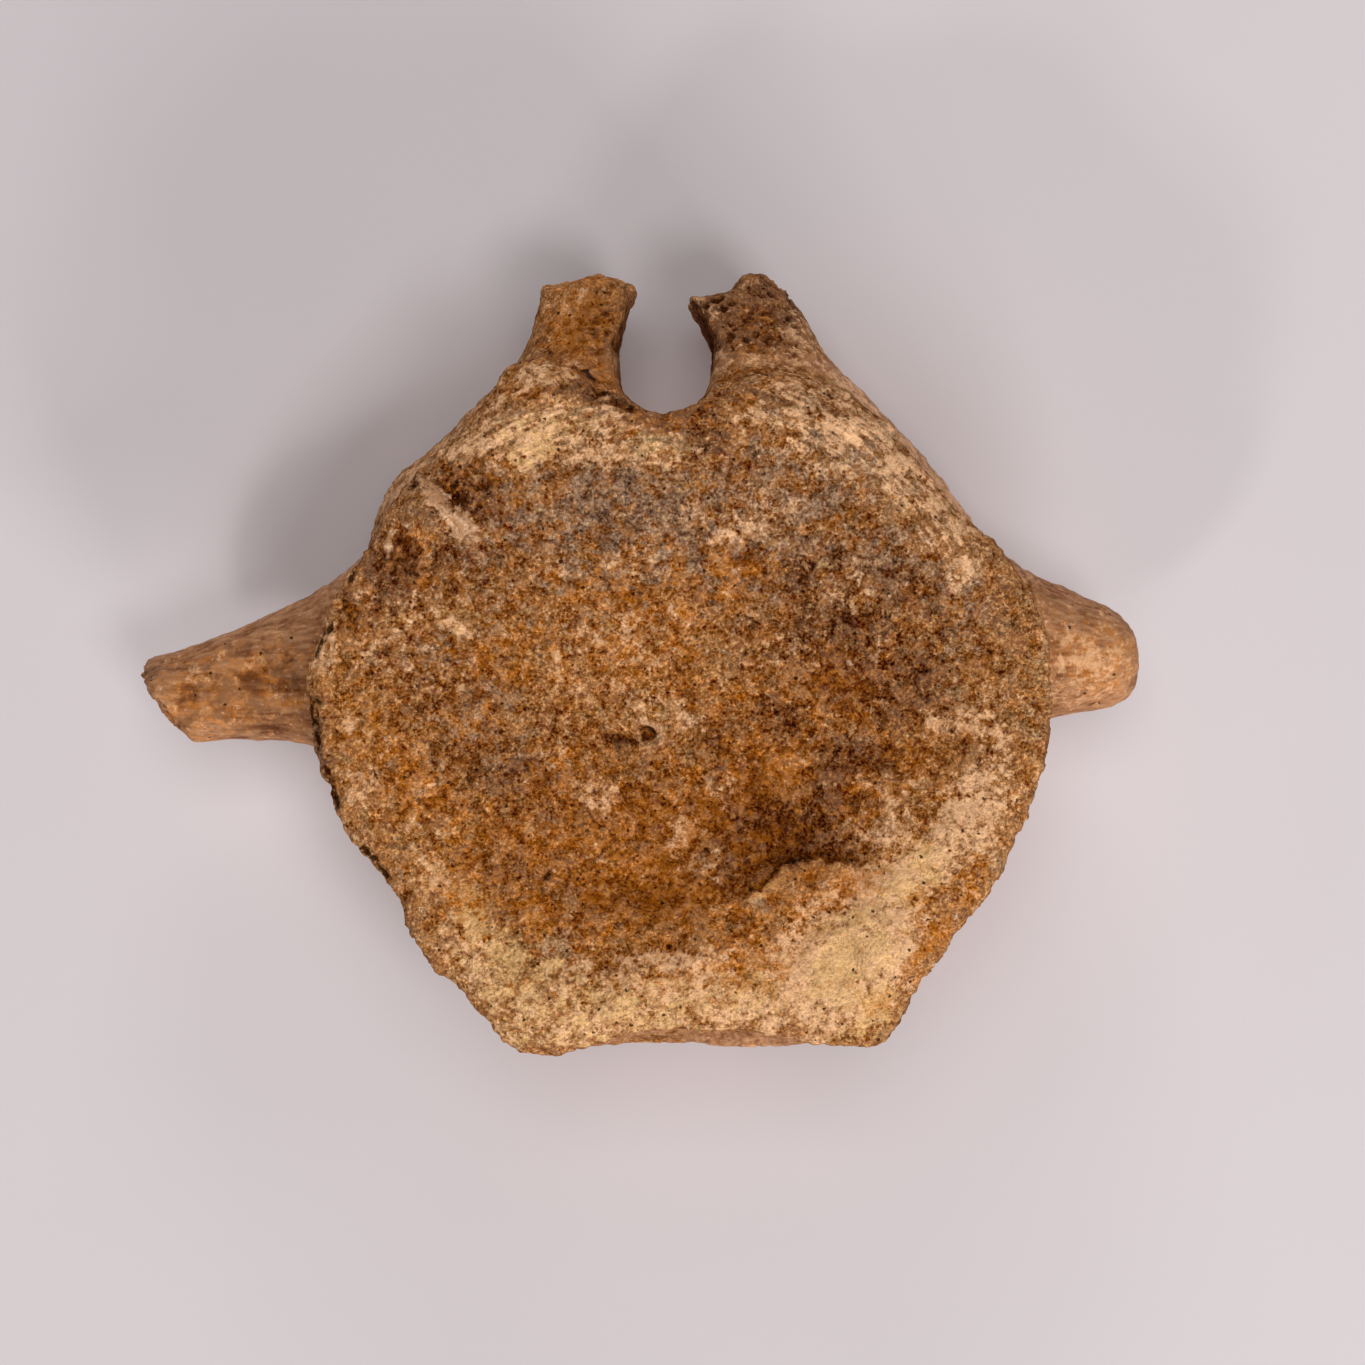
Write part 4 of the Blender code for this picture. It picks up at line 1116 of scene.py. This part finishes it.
class FOSSIL_OT_bone(bpy.types.Operator):
    """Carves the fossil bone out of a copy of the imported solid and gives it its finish"""

    bl_idname = "fossil.bone"
    bl_label = "Fossil bone"

    def execute(self, context):
        sizes, colours = context.scene.fossil_sizes, context.scene.fossil_colours
        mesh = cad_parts[SOLID].data.copy()
        mesh.name = PIECE
        piece = bpy.data.objects.new(PIECE, mesh)
        context.scene.collection.objects.link(piece)
        pick(piece)
        bpy.ops.object.mode_set(mode="EDIT")
        bpy.ops.mesh.select_all(action="SELECT")
        bpy.ops.mesh.remove_doubles(threshold=1e-6)
        bpy.ops.object.mode_set(mode="OBJECT")
        modify(piece, "REMESH", mode="VOXEL", voxel_size=sizes.skin)
        round_facets(piece)
        carve(piece, sizes)
        modify(piece, "TRIANGULATE")
        made = len(piece.data.polygons)
        modify(piece, "DECIMATE", ratio=min(1.0, sizes.triangles / made))
        mesh = piece.data
        mesh.materials.clear()
        mesh.materials.append(fossil_bone_finish(colours, sizes))
        mesh.shade_smooth()
        paint(piece)
        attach(piece, "root")
        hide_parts(SOLID)
        return {"FINISHED"}


def lamp(name, watts, azimuth, height, width):
    """A square lamp that shines at the middle of the bone."""
    data = bpy.data.lights.new(name, "AREA")
    data.energy = watts
    data.size = width
    body = bpy.data.objects.new(name, data)
    turn, rise = math.radians(azimuth), math.radians(height)
    level = math.cos(rise)
    direction = Vector((level * math.cos(turn), level * math.sin(turn), math.sin(rise)))
    body.location = Vector((*VIEW_CENTRE, CAD_BOX[1].z / 2)) + direction
    body.rotation_mode = "QUATERNION"
    body.rotation_quaternion = direction.to_track_quat("Z", "Y")
    bpy.context.scene.collection.objects.link(body)


class FOSSIL_OT_studio(bpy.types.Operator):
    """Adds the pale sheet, the lamps, the even light and the camera over the rear face"""

    bl_idname = "fossil.studio"
    bl_label = "Studio"

    def execute(self, context):
        scene, light = context.scene, context.scene.fossil_light
        bpy.ops.object.select_all(action="DESELECT")
        bpy.ops.mesh.primitive_plane_add(size=SHEET_WIDTH, location=(0, 0, 0))
        sheet = context.active_object
        sheet.name = "pale_sheet"
        sheet.data.materials.append(paper_finish(scene.fossil_colours))

        world = bpy.data.worlds.new("even_light")
        world.use_nodes = True
        sky = world.node_tree.nodes["Background"]
        sky.inputs["Color"].default_value = (*scene.fossil_colours.sky, 1.0)
        sky.inputs["Strength"].default_value = light.sky
        scene.world = world
        for name, place in LAMPS.items():
            lamp("lamp_" + name, getattr(light, name), *place)

        data = bpy.data.cameras.new("camera")
        data.sensor_width = SENSOR_WIDTH
        data.lens = SENSOR_WIDTH * CAMERA_HEIGHT / VIEW_WIDTH
        data.clip_start = 0.01
        camera = bpy.data.objects.new("camera", data)
        camera.location = (VIEW_CENTRE.x, VIEW_CENTRE.y, CAD_BOX[1].z + CAMERA_HEIGHT)
        scene.collection.objects.link(camera)
        scene.camera = camera
        scene.view_settings.view_transform = "Standard"
        return {"FINISHED"}


class FOSSIL_PT_panel(bpy.types.Panel):
    bl_idname = "FOSSIL_PT_panel"
    bl_label = "Fossil vertebra"
    bl_space_type = "VIEW_3D"
    bl_region_type = "UI"
    bl_category = "Fossil"

    def draw(self, context):
        for operator in (FOSSIL_OT_bone, FOSSIL_OT_studio):
            self.layout.operator(operator.bl_idname)
        for group in ("fossil_sizes", "fossil_colours", "fossil_light"):
            values = getattr(context.scene, group)
            box = self.layout.box()
            for name in values.__annotations__:
                box.prop(values, name)


CLASSES = (
    FossilSizes, FossilColours, FossilLight, FOSSIL_OT_bone, FOSSIL_OT_studio, FOSSIL_PT_panel
)


def register():
    for kind in CLASSES:
        bpy.utils.register_class(kind)
    bpy.types.Scene.fossil_sizes = PointerProperty(type=FossilSizes)
    bpy.types.Scene.fossil_colours = PointerProperty(type=FossilColours)
    bpy.types.Scene.fossil_light = PointerProperty(type=FossilLight)


def unregister():
    for name in ("fossil_light", "fossil_colours", "fossil_sizes"):
        delattr(bpy.types.Scene, name)
    for kind in reversed(CLASSES):
        bpy.utils.unregister_class(kind)


def main():
    register()
    bpy.ops.fossil.bone()
    bpy.ops.fossil.studio()


if __name__ == "__main__":
    main()
